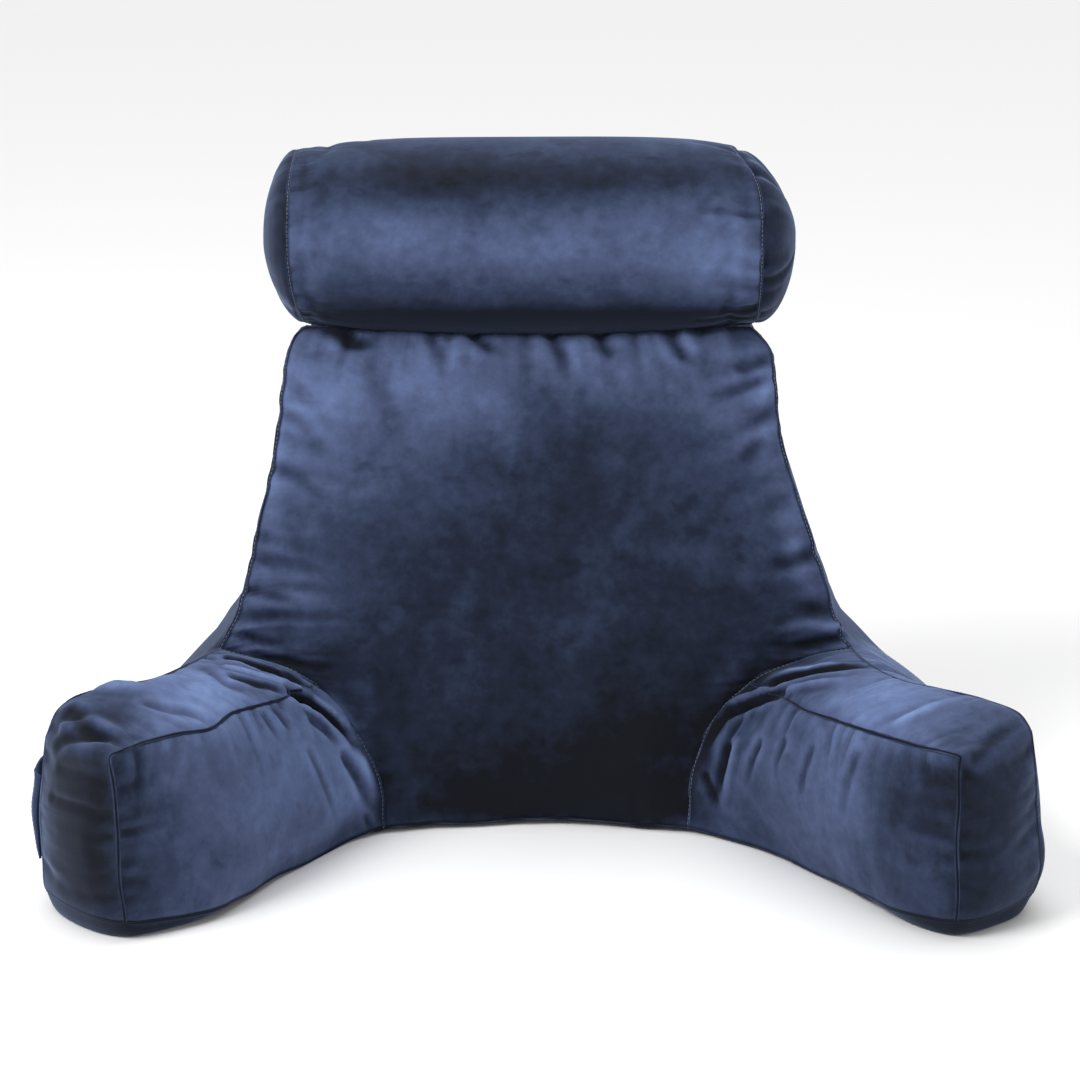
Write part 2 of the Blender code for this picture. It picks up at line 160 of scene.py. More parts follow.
def waver(line, amount, pitch, seed):
    # a sewn seam is never quite straight; its ends stay where they are
    rng = np.random.default_rng(seed)
    run = runAlong(line)
    knots = max(int(run[-1] / pitch), 3)
    push = rng.uniform(-1, 1, (knots + 1, 3))
    t = run / run[-1]
    off = blurred(between(t, np.linspace(0, 1, knots + 1), push), (1, 2, 3, 2, 1))
    return line + off * amount * np.minimum(1, 8 * t * (1 - t))[:, None]


# the cover of backrest and arms, in the frame of the cutting table

cover = {
    "middle": (-0.00104, -0.03665, 0.0),  # middle of the base, in the same frame
    "footY": -0.030,                      # front panel: its foot, lean, and how its sides wrap forward
    "lean": radians(12),
    "wrap": (0.25, 0.06, 0.50),           # slope, rounding, height where it ends
    "shoulder": (0.325, 0.371, 0.024, 2.2),   # the front bends back between these heights: far, late
    "frontCrown": 0.018,
    "frontReach": 0.16,                   # distance from the seams where the crown is full
    "frontRelax": 160,
    "backY": 0.160,
    "backLean": radians(1.5),
    "backCrown": 0.024,
    "backTuck": 0.014,
    "flankCrown": 0.005,
    "topCrown": 0.002,
    "armCrown": {"inner": 0.007, "gusset": 0.007, "outer": {"left": 0.009, "right": 0.018}},
    "flankShare": 0.19 / (0.19 + 0.17),   # of the side panel's length; the rest lies on the arm
    "baseDrop": 0.040,
    # steps of about 5.5 mm
    "across": 66,                         # front, back, top
    "armTall": 22,
    "armWide": 15,
    "armLong": 46,
    "sideTall": 43,                       # side seam above the arm
    "depth": 24,
    "seamWaver": 0.0016,                  # metres, about every 30 mm
    "innerWaver": 0.0032,                 # the inner top seams of the arms
    "waverPitch": 0.030,
    # from the foot up: height, then half widths of the front left, right, of the back left, right
    "rows": (
        (0.005, 0.330, 0.330, 0.300, 0.300),
        (0.034, 0.327, 0.327, 0.303, 0.303),
        (0.055, 0.321, 0.321, 0.292, 0.295),
        (0.077, 0.306, 0.307, 0.273, 0.275),
        (0.096, 0.290, 0.292, 0.254, 0.257),
        (0.115, 0.271, 0.273, 0.243, 0.243),
        (0.126, 0.259, 0.261, 0.237, 0.237),
        (0.136, 0.248, 0.249, 0.232, 0.232),
        (0.144, 0.238, 0.238, 0.226, 0.230),
        (0.165, 0.226, 0.226, 0.216, 0.219),
        (0.186, 0.220, 0.221, 0.208, 0.211),
        (0.207, 0.214, 0.214, 0.202, 0.203),
        (0.236, 0.208, 0.204, 0.196, 0.193),
        (0.265, 0.201, 0.195, 0.190, 0.184),
        (0.294, 0.197, 0.187, 0.185, 0.177),
        (0.318, 0.194, 0.183, 0.182, 0.172),
        (0.338, 0.192, 0.181, 0.180, 0.171),
        (0.354, 0.190, 0.182, 0.177, 0.171),
        (0.365, 0.185, 0.173, 0.171, 0.166),
        (0.371, 0.178, 0.165, 0.162, 0.158),
    ),
    # half widths left, right of the curved arm seams, at the first of those heights
    "armSeam": (
        (0.116, 0.116), (0.119, 0.118), (0.126, 0.122), (0.137, 0.131), (0.150, 0.144),
        (0.167, 0.163), (0.186, 0.183), (0.210, 0.209), (0.238, 0.238),
    ),
    "armTop": 8,                          # row where the curved arm seam meets the side seam
    "armCorner": 5,                       # row where the inner top seam of the arm starts
    # seams of the arms from the backrest forward: half width, y, height
    "arms": {
        "right": {
            "innerBottom": ((0.141, -0.059, 0.003), (0.171, -0.085, 0.002), (0.198, -0.116, 0.002),
                            (0.219, -0.148, 0.003), (0.238, -0.186, 0.006), (0.258, -0.220, 0.010),
                            (0.293, -0.250, 0.014)),
            "innerTop": ((0.181, -0.067, 0.121), (0.197, -0.110, 0.126), (0.217, -0.154, 0.130),
                         (0.241, -0.190, 0.134), (0.264, -0.218, 0.137), (0.291, -0.251, 0.138)),
            "outerTop": ((0.249, -0.090, 0.149), (0.268, -0.125, 0.150), (0.292, -0.150, 0.152),
                         (0.318, -0.174, 0.153), (0.338, -0.192, 0.150), (0.347, -0.201, 0.139)),
            "outerFront": ((0.351, -0.204, 0.107), (0.354, -0.204, 0.072), (0.358, -0.204, 0.042),
                           (0.355, -0.198, 0.014)),
            "outerBottom": ((0.343, -0.120, 0.013), (0.353, -0.165, 0.014)),
            "toeBow": 0.006,
        },
        "left": {
            "innerBottom": ((0.139, -0.061, 0.002), (0.159, -0.087, 0.0015), (0.178, -0.118, 0.0015),
                            (0.194, -0.148, 0.003), (0.213, -0.186, 0.006), (0.233, -0.219, 0.010),
                            (0.285, -0.252, 0.014)),
            "innerTop": ((0.184, -0.083, 0.122), (0.206, -0.126, 0.127), (0.229, -0.170, 0.132),
                         (0.254, -0.202, 0.136), (0.276, -0.231, 0.139), (0.291, -0.251, 0.139)),
            "outerTop": ((0.252, -0.090, 0.150), (0.272, -0.122, 0.152), (0.296, -0.143, 0.153),
                         (0.320, -0.158, 0.152), (0.338, -0.172, 0.144), (0.346, -0.183, 0.127)),
            "outerFront": ((0.349, -0.187, 0.095), (0.352, -0.188, 0.065), (0.352, -0.188, 0.036),
                           (0.352, -0.188, 0.014)),
            "outerBottom": ((0.341, -0.110, 0.013), (0.347, -0.150, 0.014)),
            "toeBow": 0.010,
        },
    },
}

roll = {
    "centre": (-0.008, 0.100, 0.4350),
    "halfLength": 0.178,
    "radius": 0.0745,
    "seamRadius": 0.0660,
    "taper": 4.0,
    "domes": {"left": 0.023, "right": 0.030},
    "drawnIn": {"left": (0.003, 0.009), "right": (0.017, 0.0)},   # the end seams, at top and bottom
    "drawnPowers": (5, 2, 6),             # the higher, the closer to the top, to the bottom, to the ends
    "sides": 84,
    "rings": 64,
    "domeRings": 12,
    "pressure": 4.0,
    "extra": 0.012,
    "frames": 14,
    "cap": 0.003,
    "domeCap": 0.0012,
}


def jointY(x, z):
    # how far forward the front of the backrest lies
    slope, rounding, endHeight = cover["wrap"]
    wrap = slope * (np.hypot(x, rounding) - rounding)
    start, end, back, late = cover["shoulder"]
    shoulder = back * np.clip((z - start) / (end - start), 0, 1) ** late
    return cover["footY"] + z * np.tan(cover["lean"]) - wrap * (1 - z / endHeight) + shoulder


def onJoint(line):
    x, z = line[:, 0], line[:, 2]
    return pressedByRoll(np.stack([x, jointY(x, z), z], axis=1))


def rollRadius(along):
    share = np.minimum(np.abs(along) / roll["halfLength"], 1)
    return roll["radius"] - (roll["radius"] - roll["seamRadius"]) * share ** roll["taper"]


def pressedByRoll(points, gap=0.0010):
    x, y, z = np.moveaxis(points, -1, 0)
    centre = roll["centre"]
    radius = rollRadius(x - centre[0]) + gap
    depth = np.sqrt(np.maximum(radius**2 - (y - centre[1]) ** 2, 0))
    return np.stack([x, y, np.minimum(z, centre[2] - depth)], axis=-1)


def onFloor(line, fullness=0.4):
    t = np.linspace(0, 1, len(line))
    line = line.copy()
    line[:, 2] = np.maximum(line[:, 2] - cover["baseDrop"] * (4 * t * (1 - t)) ** fullness, 0)
    return line


def laid(grid, fullness=0.4):
    grid = grid.copy()
    drop = cover["baseDrop"] * domed(*shareOf(grid), fullness)
    grid[1:-1, 1:-1, 2] = np.maximum(grid[:, :, 2] - drop, 0)[1:-1, 1:-1]
    return grid


def cutCover():
    rows = np.array(cover["rows"])
    height = rows[:, 0]
    top, corner = cover["armTop"], cover["armCorner"]
    tall, wide, long, side = cover["armTall"], cover["armWide"], cover["armLong"], cover["sideTall"]
    across, depth, crowns = cover["across"], cover["depth"], cover["armCrown"]
    backCore, flankCore = (0, 0.06, 0.17), (0, 0.08, 0.2)
    grids, seams, line = {}, {}, {}

    def sewn(name, points):
        amount = cover["innerWaver" if name.startswith("innerTop") else "seamWaver"]
        seams[name] = waver(points, amount, cover["waverPitch"], next(seeds))
        return seams[name]

    def onFront(x, part, steps):
        return onJoint(smoothThrough(np.stack([x[part], 0 * x[part], height[part]], axis=1), steps))

    for number, (sideName, sign) in enumerate((("left", -1), ("right", 1))):
        seeds = count(100 * number + 1)
        end = "_" + sideName
        seamX = np.array(cover["armSeam"])[:, number] * sign
        out, back = rows[:, 1 + number] * sign, rows[:, 3 + number] * sign
        arcLow = sewn("arcLow" + end, onFront(seamX, slice(corner + 1), tall))
        arcHigh = sewn("arcHigh" + end, onFront(seamX, slice(corner, top + 1), wide))
        flare = onFront(out, slice(top + 1), tall)
        flare[-1] = arcHigh[-1]
        sideSeam = sewn("side" + end, onFront(out, slice(top, None), side))
        backY = cover["backY"] - height * np.tan(cover["backLean"]) - cover["backTuck"]
        backRows = np.stack([back, backY, height], axis=1)
        backLow, backHigh = smoothThrough(backRows[:top + 1], tall), smoothThrough(backRows[top:], side)
        backSeam = sewn("back" + end, np.vstack([backLow, backHigh[1:]]))

        arm = cover["arms"][sideName]

        def through(first, name, steps, *last):
            return smoothThrough([first, *(np.array(arm[name]) * (sign, 1, 1)), *last], steps)

        innerBottom = sewn("innerBottom" + end, through(arcLow[0], "innerBottom", long))
        innerTop = sewn("innerTop" + end, through(arcLow[-1], "innerTop", long))
        outerTop = sewn("outerTop" + end, through(arcHigh[-1], "outerTop", long))
        outerFront = sewn("outerFront" + end, through(outerTop[-1], "outerFront", tall)[::-1])
        outerBottom = sewn("outerBottom" + end, through(flare[0], "outerBottom", long, outerFront[0]))
        innerFront = sewn("innerFront" + end, smoothThrough([innerBottom[-1], innerTop[-1]], tall))
        toe = straight(innerBottom[-1], outerFront[0], wide)
        t = np.linspace(0, 1, wide + 1)
        toe[:, 1] -= arm["toeBow"] * 4 * t * (1 - t)
        toe = sewn("toe" + end, toe)
        rearBottom = onFloor(onJoint(straight(arcLow[0], flare[0], wide)))

        innerEdge = np.vstack([innerTop, innerFront[::-1][1:]])
        outerEdge = np.vstack([outerTop, outerFront[::-1][1:]])
        core = (innerBottom.mean(axis=0) + outerTop.mean(axis=0)) / 2
        inner = panelBetween(innerBottom, innerTop, arcLow, innerFront)
        gusset = panelBetween(innerEdge, outerEdge, arcHigh, toe)
        grids["inner" + end] = swell(inner, core, crowns["inner"])
        grids["gusset" + end] = swell(gusset, core, crowns["gusset"], bend=long)

        # the side panel is one piece of cloth from the back seam to the front of the arm
        endTop = pressedByRoll(straight(backSeam[-1], sideSeam[-1], depth))
        endTop[0], endTop[-1] = backSeam[-1], sideSeam[-1]
        sideBottom = sewn("sideBottom" + end, straight(backSeam[0], flare[0], depth))
        seams["topEnd" + end] = endTop
        flank = panelBetween(sideBottom, endTop, backSeam, np.vstack([flare, sideSeam[1:]]))
        outer = panelBetween(outerBottom, outerTop, flare, outerFront)
        share, outerCrown, rounded = cover["flankShare"], crowns["outer"][sideName], 0.5
        up = np.arange(tall + side + 1)
        armRow = np.clip(up / tall, 0, 1)[:, None]
        uFlank, vFlank = shareOf(flank)
        beside = np.clip((tall - up) / 6 + 0.5, 0, 1)[:, None]   # 1 where the flank goes on into the arm
        lift = cover["flankCrown"] * domed(uFlank * (1 - beside * (1 - share)), vFlank)
        lift[:, -1] *= up < tall
        forward = np.linspace(0, 1, flank.shape[1])[None, :]
        blend = forward**2 * (3 - 2 * forward) * (armRow < 1)
        lift = lift * (1 - blend) + outerCrown * domed(share, armRow, rounded) * blend
        grids["flank" + end] = lifted(flank, flankCore, lift)
        uOuter, vOuter = shareOf(outer)
        lift = outerCrown * domed(share + uOuter * (1 - share), vOuter, rounded)
        grids["outer" + end] = lifted(outer, core, lift)
        shared = (grids["outer" + end][:, 0] + grids["flank" + end][:tall + 1, -1]) / 2
        shared[0], shared[-1] = flare[0], flare[-1]
        grids["outer" + end][:, 0] = grids["flank" + end][:tall + 1, -1] = shared

        diagonal = onFloor(straight(arcLow[0], backSeam[0], depth))
        pinch = np.repeat(backSeam[:1], wide + 1, axis=0)
        grids["armBase" + end] = laid(panelBetween(innerBottom, outerBottom, rearBottom, toe))
        grids["sideBase" + end] = laid(panelBetween(diagonal, sideBottom[::-1], rearBottom, pinch))
        line[sideName] = {"front": np.vstack([arcLow, arcHigh[1:], sideSeam[1:]]), "back": backSeam,
                          "topEnd": endTop, "diagonal": diagonal}

    seeds = count(301)
    left, right = line["left"], line["right"]
    bottom = sewn("frontBottom", onJoint(straight(left["front"][0], right["front"][0], across)))
    topFront = sewn("topFront", onJoint(straight(left["front"][-1], right["front"][-1], across)))
    edges = (bottom, topFront, left["front"], right["front"])
    front = relaxed(panelBetween(*edges), cover["frontRelax"])
    inside = front[1:-1, 1:-1]
    inside[:, :, 1] = jointY(inside[:, :, 0], inside[:, :, 2])
    front = swellFromSeams(front, np.vstack(edges), backCore, cover["frontCrown"], cover["frontReach"])
    front = pressedByRoll(front)
    front[0], front[-1], front[:, 0], front[:, -1] = edges
    grids["front"] = front

    tuck = cover["backTuck"] * (1 - np.linspace(-1, 1, across + 1) ** 4)
    for name, end in (("backBottom", 0), ("backTop", -1)):
        points = straight(left["back"][end], right["back"][end], across)
        points[:, 1] += tuck
        sewn(name, points)
    backBottom, backTop = seams["backBottom"], seams["backTop"]
    back = panelBetween(backBottom, backTop, left["back"], right["back"])
    grids["back"] = swell(back, backCore, cover["backCrown"])
    topPanel = panelBetween(topFront, backTop, left["topEnd"][::-1], right["topEnd"][::-1])
    topPanel[:, :, 2] += cover["topCrown"] * domed(*shareOf(topPanel))
    grids["top"] = pressedByRoll(topPanel)
    grids["base"] = laid(panelBetween(bottom, backBottom, left["diagonal"], right["diagonal"]))
    middle = np.array(cover["middle"])
    return {n: g - middle for n, g in grids.items()}, {n: s - middle for n, s in seams.items()}


# meshes

def read(items, key, width=1, kind=float):
    flat = np.empty(len(items) * width, dtype=kind)
    items.foreach_get(key, flat)
    return flat.reshape(-1, width) if width > 1 else flat


def pointsOf(mesh):
    return read(mesh.vertices, "co", 3)


def normalsOf(mesh):
    return read(mesh.vertices, "normal", 3)


def setPoints(mesh, points):
    mesh.vertices.foreach_set("co", np.ascontiguousarray(points, dtype=float).ravel())
    mesh.update()


def addObject(name, data):
    obj = bpy.data.objects.new(name, data)
    scene.collection.objects.link(obj)
    return obj


def addPiece(name, corners, edges, faces):
    mesh = bpy.data.meshes.new(name)
    mesh.from_pydata(corners, edges, faces)
    mesh.update()
    return addObject(name, mesh)


def applied(obj, modifier):
    # the modifier's result becomes the object's own mesh
    made = bpy.data.meshes.new_from_object(obj.evaluated_get(bpy.context.evaluated_depsgraph_get()))
    obj.modifiers.remove(modifier)
    made.name = obj.name
    obj.data = made


def treeOf(obj):
    return BVHTree.FromObject(obj, bpy.context.evaluated_depsgraph_get())


def gapTo(points, line, lot=2000):
    # how far each point is from the nearest point of a line
    return np.concatenate([
        np.linalg.norm(points[start:start + lot, None] - line[None], axis=2).min(axis=1)
        for start in range(0, len(points), lot)])


def sewTogether(name, grids, seams):
    # one closed mesh; each face knows its panel, its place there and the seams it meets
    points, faces, places, lengths, panels, sizes = [], [], [], [], [], {}
    start = 0
    for index, (panelName, grid) in enumerate(grids.items()):
        rows, columns = grid.shape[:2]
        sizes[panelName] = (index, *sizeOf(grid))
        quads = quadsOf(rows, columns)
        place = np.stack([share.ravel() for share in shareOf(grid)], axis=1)[quads]
        points.append(grid.reshape(-1, 3))
        faces.append(quads + start)
        places.append(place)
        lengths.append(place * sizes[panelName][1:] + (0.83 * index, 0.37 * index))   # none alike
        panels += [index] * len(quads)
        start += rows * columns
    points, faces, places, lengths = (np.vstack(part) for part in (points, faces, places, lengths))
    unique, first, which = np.unique(np.round(points, 6), axis=0, return_index=True, return_inverse=True)
    points, faces = points[first], which.ravel()[faces]
    corners, kept, placeList, lengthList = [], [], [], []
    for face, place, length, panelIndex in zip(faces.tolist(), places, lengths, panels):
        keep = [i for i in range(4) if face[i] != face[i - 1]]
        if len(keep) > 2:
            corners.append([face[i] for i in keep])
            placeList.append(place[keep])
            lengthList.append(length[keep])
            kept.append(panelIndex)
    mesh = bpy.data.meshes.new(name)
    mesh.from_pydata(points.tolist(), [], corners)
    for layer, values in (("place", placeList), ("cloth", lengthList)):
        mesh.uv_layers.new(name=layer).data.foreach_set("uv", np.vstack(values).ravel())
    mesh.attributes.new("panel", "INT", "FACE").data.foreach_set("value", kept)
    panelSize = [size[1:] for size in sizes.values()]
    reach, floorHeight, clear = 0.028, 0.03, 0.05
    for axis, attribute in enumerate(("gatherU", "gatherV")):
        # how close each corner is to a seam that the small folds run off; fewer of them near the floor
        place = np.vstack(placeList)[:, axis]
        size = np.repeat([panelSize[index][axis] for index in kept], [len(c) for c in corners])
        height = points[np.concatenate(corners), 2]
        share = np.exp(-np.minimum(place, 1 - place) * size / reach)
        share *= np.clip((height - floorHeight) / clear, 0.05, 1)
        mesh.attributes.new(attribute, "FLOAT", "CORNER").data.foreach_set("value", share)
    work = bmesh.new()
    work.from_mesh(mesh)
    bmesh.ops.recalc_face_normals(work, faces=work.faces[:])
    work.to_mesh(mesh)
    work.free()
    lookUp = {tuple(k): i for i, k in enumerate(unique.tolist())}
    chains = {n: [lookUp[tuple(k)] for k in np.round(curve, 6).tolist()] for n, curve in seams.items()}
    edges = read(mesh.edges, "vertices", 2, int).tolist()
    edgeOf = {tuple(sorted(pair)): i for i, pair in enumerate(edges)}
    sharp = np.zeros(len(mesh.edges))
    for chain in chains.values():
        for pair in zip(chain, chain[1:]):
            if pair[0] != pair[1]:
                sharp[edgeOf[tuple(sorted(pair))]] = 1
    mesh.attributes.new("crease_edge", "FLOAT", "EDGE").data.foreach_set("value", sharp)
    mesh.attributes.new("sharp_edge", "BOOLEAN", "EDGE").data.foreach_set("value", sharp > 0)
    mesh.update()
    onSeam = np.zeros(len(points), bool)
    onSeam[[i for chain in chains.values() for i in chain]] = True
    return addObject(name, mesh), onSeam, sizes


def fillWithPressure(obj, held, pressure, extra, frames, cap, push=None, bending=0.3, stiffness=15.0):
    # cloth pushed out from inside, its seams held; extra is how much longer the cloth is than its place
    before = pointsOf(obj.data)
    cloth = obj.modifiers.new("filling", "CLOTH")
    settings = cloth.settings
    for name, weights in (("mass", held), ("pressure", push)):
        if weights is not None:
            group = obj.vertex_groups.new(name=name)
            for weight in np.unique(weights[weights > 0]):
                group.add(np.where(weights == weight)[0].tolist(), float(weight), "REPLACE")
            setattr(settings, "vertex_group_" + name, name)
    settings.quality = 6
    settings.tension_stiffness = settings.compression_stiffness = stiffness
    settings.shear_stiffness = stiffness / 3
    settings.bending_stiffness = bending
    settings.use_pressure = True
    settings.uniform_pressure_force = pressure
    settings.shrink_min = settings.shrink_max = -extra
    settings.effector_weights.gravity = 0
    cloth.collision_settings.use_collision = False
    cloth.point_cache.frame_end = frames
    for number in range(1, frames + 1):
        scene.frame_set(number)
    after = pointsOf(obj.evaluated_get(bpy.context.evaluated_depsgraph_get()).data)
    obj.modifiers.remove(cloth)
    obj.vertex_groups.clear()
    moved = after - before
    far = np.linalg.norm(moved, axis=1)
    print("  moved mean %.1f mm, most %.1f mm" % (1000 * far.mean(), 1000 * far.max()))
    keep = cap * np.tanh(far / cap) / np.maximum(far, 1e-9)
    setPoints(obj.data, before + moved * keep[:, None])
    scene.frame_set(1)


def subdivided(obj):
    smooth = obj.modifiers.new("finer", "SUBSURF")
    smooth.levels = smooth.render_levels = 1
    smooth.uv_smooth = "NONE"
    applied(obj, smooth)


def panelOfCorners(mesh):
    panelOf = read(mesh.attributes["panel"].data, "value", kind=int)
    return np.repeat(panelOf, read(mesh.polygons, "loop_total", kind=int))


def atPoints(mesh, values):
    # the mean at each point of what its corners say
    corner = read(mesh.loops, "vertex_index", kind=int)
    corners = np.bincount(corner, minlength=len(mesh.vertices))
    return np.bincount(corner, weights=values, minlength=len(mesh.vertices)) / np.maximum(corners, 1)


# folds, nap and seams

def foldProfile(apart):
    # a narrow valley with a low ridge on both sides
    return (1 - 0.9 * apart**2) * np.exp(-(apart**2) / 1.4)


def foldsOnPanels(obj, sizes, folds, held=0.006, fade=0.75):
    # folds: panel, u, v, u, v, half width, rise; each fades towards its second end
    mesh = obj.data
    place = read(mesh.uv_layers["place"].data, "uv", 2)
    panelOf = panelOfCorners(mesh)
    relief = np.zeros(len(mesh.loops))
    for name, (index, width, tall) in sizes.items():
        rows = [row[1:] for row in folds if row[0] == name]
        inPanel = np.where(panelOf == index)[0]
        if not rows or not len(inPanel):
            continue
        u, v = place[inPanel].T
        lift = np.zeros(len(inPanel))
        for u0, v0, u1, v1, halfWidth, rise in rows:
            run = np.array([(u1 - u0) * width, (v1 - v0) * tall])
            du, dv = (u - u0) * width, (v - v0) * tall
            share = np.clip((du * run[0] + dv * run[1]) / (run @ run), 0, 1)
            apart = np.hypot(du - share * run[0], dv - share * run[1])
            lift += rise * foldProfile(apart / halfWidth) * (1 - fade * share)
        edge = np.minimum(np.minimum(u, 1 - u) * width, np.minimum(v, 1 - v) * tall)
        relief[inPanel] = lift * np.clip(edge / held, 0, 1)
    return atPoints(mesh, relief)


def puckersAlong(panel, edge, start, end, every, reach, width, depth, lean, seed):
    # small folds that run off a seam into the panel; edge is u0, u1, v0 or v1
    rng = np.random.default_rng(seed)
    rows, at = [], start
    while at < end:
        inwards = reach * rng.uniform(0.5, 1.3)
        side = at + lean * rng.uniform(0.2, 1.4)
        deep = depth * rng.uniform(0.4, 1.3) * rng.choice([1, 1, -0.6])
        ends = {"u0": (0.0, at, inwards, side), "u1": (1.0, at, 1 - inwards, side),
                "v0": (at, 0.0, side, inwards), "v1": (at, 1.0, side, 1 - inwards)}[edge]
        rows.append((panel, *ends, width * rng.uniform(0.7, 1.3), -deep))
        at += every * rng.uniform(0.5, 1.5)
    return rows


def puckersFrom(table, seed):
    # each seam takes the next seed
    rows = []
    for seams, *numbers in table:
        for seam in seams.split(", "):
            rows += puckersAlong(*seam.split(), *numbers, seed)
            seed += 1
    return rows


def seenAt(tree, pixels, half=540):
    # where the camera sees these pixels of a 1080 x 1080 picture on the cloth
    turn = camera.rotation_euler.to_matrix()
    slope = camera.data.sensor_width / 2 / camera.data.lens
    spots = []
    for x, y in pixels:
        ray = turn @ Vector(((x - half) / half * slope, (half - y) / half * slope, -1)).normalized()
        spot = tree.ray_cast(camera.location, ray)[0]
        if spot is None:
            print("  nothing seen at", x, y)
        else:
            spots.append(np.array(spot))
    return spots


def foldsSeen(obj, folds, steps=24):
    # folds by where they are seen: half width and rise in mm, then the pixels that they follow
    tree = treeOf(obj)
    points = pointsOf(obj.data)
    relief = np.zeros(len(points))
    for halfWidth, rise, *pixels in folds:
        line = smoothThrough(seenAt(tree, pixels), steps)
        near = gapTo(points, line[::4]) < halfWidth / 1000 * 5 + 0.02
        away = np.linalg.norm(points[near][:, None] - line[None], axis=2)
        fade = np.interp(away.argmin(axis=1) / steps, [0, 0.12, 0.6, 1], [0.7, 1, 0.85, 0.15])
        relief[near] += rise / 1000 * foldProfile(away.min(axis=1) / (halfWidth / 1000)) * fade
    return relief


def smoothed(mesh, passes):
    # every point moved to the middle of its neighbours, a few times over
    a, b = read(mesh.edges, "vertices", 2, int).T
    ends, others = np.concatenate([a, b]), np.concatenate([b, a])
    points = pointsOf(mesh)
    neighbours = np.bincount(ends, minlength=len(points))[:, None]
    for _ in range(passes):
        sums = [np.bincount(ends, weights=points[others, axis], minlength=len(points)) for axis in range(3)]
        points = np.stack(sums, axis=1) / neighbours
    return points


def blunted(obj, spots, reach, passes=8):
    # a sewn corner never fills out to a point
    points = pointsOf(obj.data)
    share = np.exp(-(gapTo(points, np.array(spots)) / reach) ** 2)[:, None]
    setPoints(obj.data, points + (smoothed(obj.data, passes) - points) * share)


def brushNapAndShade(obj, level, strokes=(), hollowShade=0.0, sizes=None, panels=None, folds=0.0, shaded=(), lines=(),
             passes=7, steps=30):
    # how light the nap lies, 0 to 1, with painted light and shade added: strokes are pixels where they are seen,
    # reach in mm, how much lighter
    mesh = obj.data
    points = pointsOf(mesh)
    # folds: painted shade in fold valleys and painted highlights on their ridges
    nap_and_shade = np.full(len(points), float(level)) + folds
    tree = treeOf(obj)
    for x, y, wide, tall, amount in strokes:
        for spot in seenAt(tree, [(x, y)]):
            away = (points - spot) / (wide / 1000, max(wide, tall) / 1000, tall / 1000)
            nap_and_shade += amount * np.exp(-(away**2).sum(axis=1))
    # whole panels set to a level: painted shade on undersides, sides and ends
    for name, amount in (panels or {}).items():
        nap_and_shade += (amount - nap_and_shade) * atPoints(mesh, panelOfCorners(mesh) == sizes[name][0])
    # painted shadow along a seam line
    for wide, amount, line in shaded:
        nap_and_shade += amount * np.exp(-(gapTo(points, line) / (wide / 1000)) ** 2)
    # painted shade and highlights along lines seen in the view
    for wide, amount, *pixels in lines:
        line = smoothThrough(seenAt(tree, pixels), steps)
        close = np.where(np.linalg.norm(points - line.mean(axis=0), axis=1) < 0.25)[0]
        gap = np.linalg.norm(points[close, None] - line[None], axis=2)
        taper = np.interp(gap.argmin(axis=1) / steps, [0, 0.2, 0.7, 1], [0.4, 1, 1, 0.3])
        nap_and_shade[close] += amount * taper * np.exp(-(gap.min(axis=1) / (wide / 1000)) ** 2)
    # painted shade in hollows, painted highlights on proud places
    if hollowShade:
        proud = ((points - smoothed(mesh, passes)) * normalsOf(mesh)).sum(axis=1)
        nap_and_shade += hollowShade * np.tanh(proud / 0.0015)
    mesh.attributes.new("nap_and_shade", "FLOAT", "POINT").data.foreach_set("value", nap_and_shade)


def alongSeams(paths, surface, step=0.0016, blur=9):
    # each seam's line on the finished surface, with its sideways and upward directions
    tree = treeOf(surface)
    found = []
    for path in paths:
        path = smoothThrough(path, max(int(runAlong(path)[-1] / step), 4))
        along = unit(np.gradient(path, axis=0))
        hits = [tree.find_nearest(Vector(point)) for point in path]
        spots, ups = (np.array([hit[i] for hit in hits]) for i in (0, 1))
        across = unit(np.cross(along, blurred(ups, [1] * blur)))
        found.append((spots, across, np.cross(across, along)))
    return found


def seamStrip(name, lines, profile):
    # the two lips and the groove of a plain seam: out, up, and how light the nap lies there, which carries
    # painted shade and highlight
    lowest = (-np.inf, -np.inf, 0)        # nothing below the floor
    corners, faces, nap_and_shade = [], [], []
    for spots, across, ups in lines:
        faces.append(quadsOf(len(spots), len(profile), len(corners)))
        for spot, side, up in zip(spots, across, ups):
            corners += [tuple(np.maximum(spot + side * out + up * high, lowest)) for out, high, _ in profile]
            nap_and_shade += [light for _, _, light in profile]
    obj = addPiece(name, corners, [], np.vstack(faces).tolist())
    obj.data.attributes.new("nap_and_shade", "FLOAT", "POINT").data.foreach_set("value", nap_and_shade)
    return obj


# finishes

def linear(hexColour):
    # sRGB hex to linear
    parts = [int(hexColour[i:i + 2], 16) / 255 for i in (1, 3, 5)]
    return tuple(c / 12.92 if c <= 0.04045 else ((c + 0.055) / 1.055) ** 2.4 for c in parts) + (1.0,)


def addNode(tree, kind, links=(), **settings):
    # one node: settings are its own properties, or the values of its inputs by name;
    # a source that is a node stands for its first output
    node = tree.nodes.new(kind)
    for name, value in settings.items():
        if hasattr(node, name):
            setattr(node, name, value)
        else:
            node.inputs[name.replace("_", " ")].default_value = value
    for socket, source in dict(links).items():
        output = source.outputs[0] if isinstance(source, bpy.types.Node) else source
        tree.links.new(output, node.inputs[socket])
    return node


def plainMaterial(name, **inputs):
    # its node tree and its shader, with these inputs set
    material = bpy.data.materials.new(name)
    material.use_nodes = True
    shader = material.node_tree.nodes["Principled BSDF"]
    for socket, value in inputs.items():
        shader.inputs[socket.replace("_", " ")].default_value = value
    return material, material.node_tree, shader


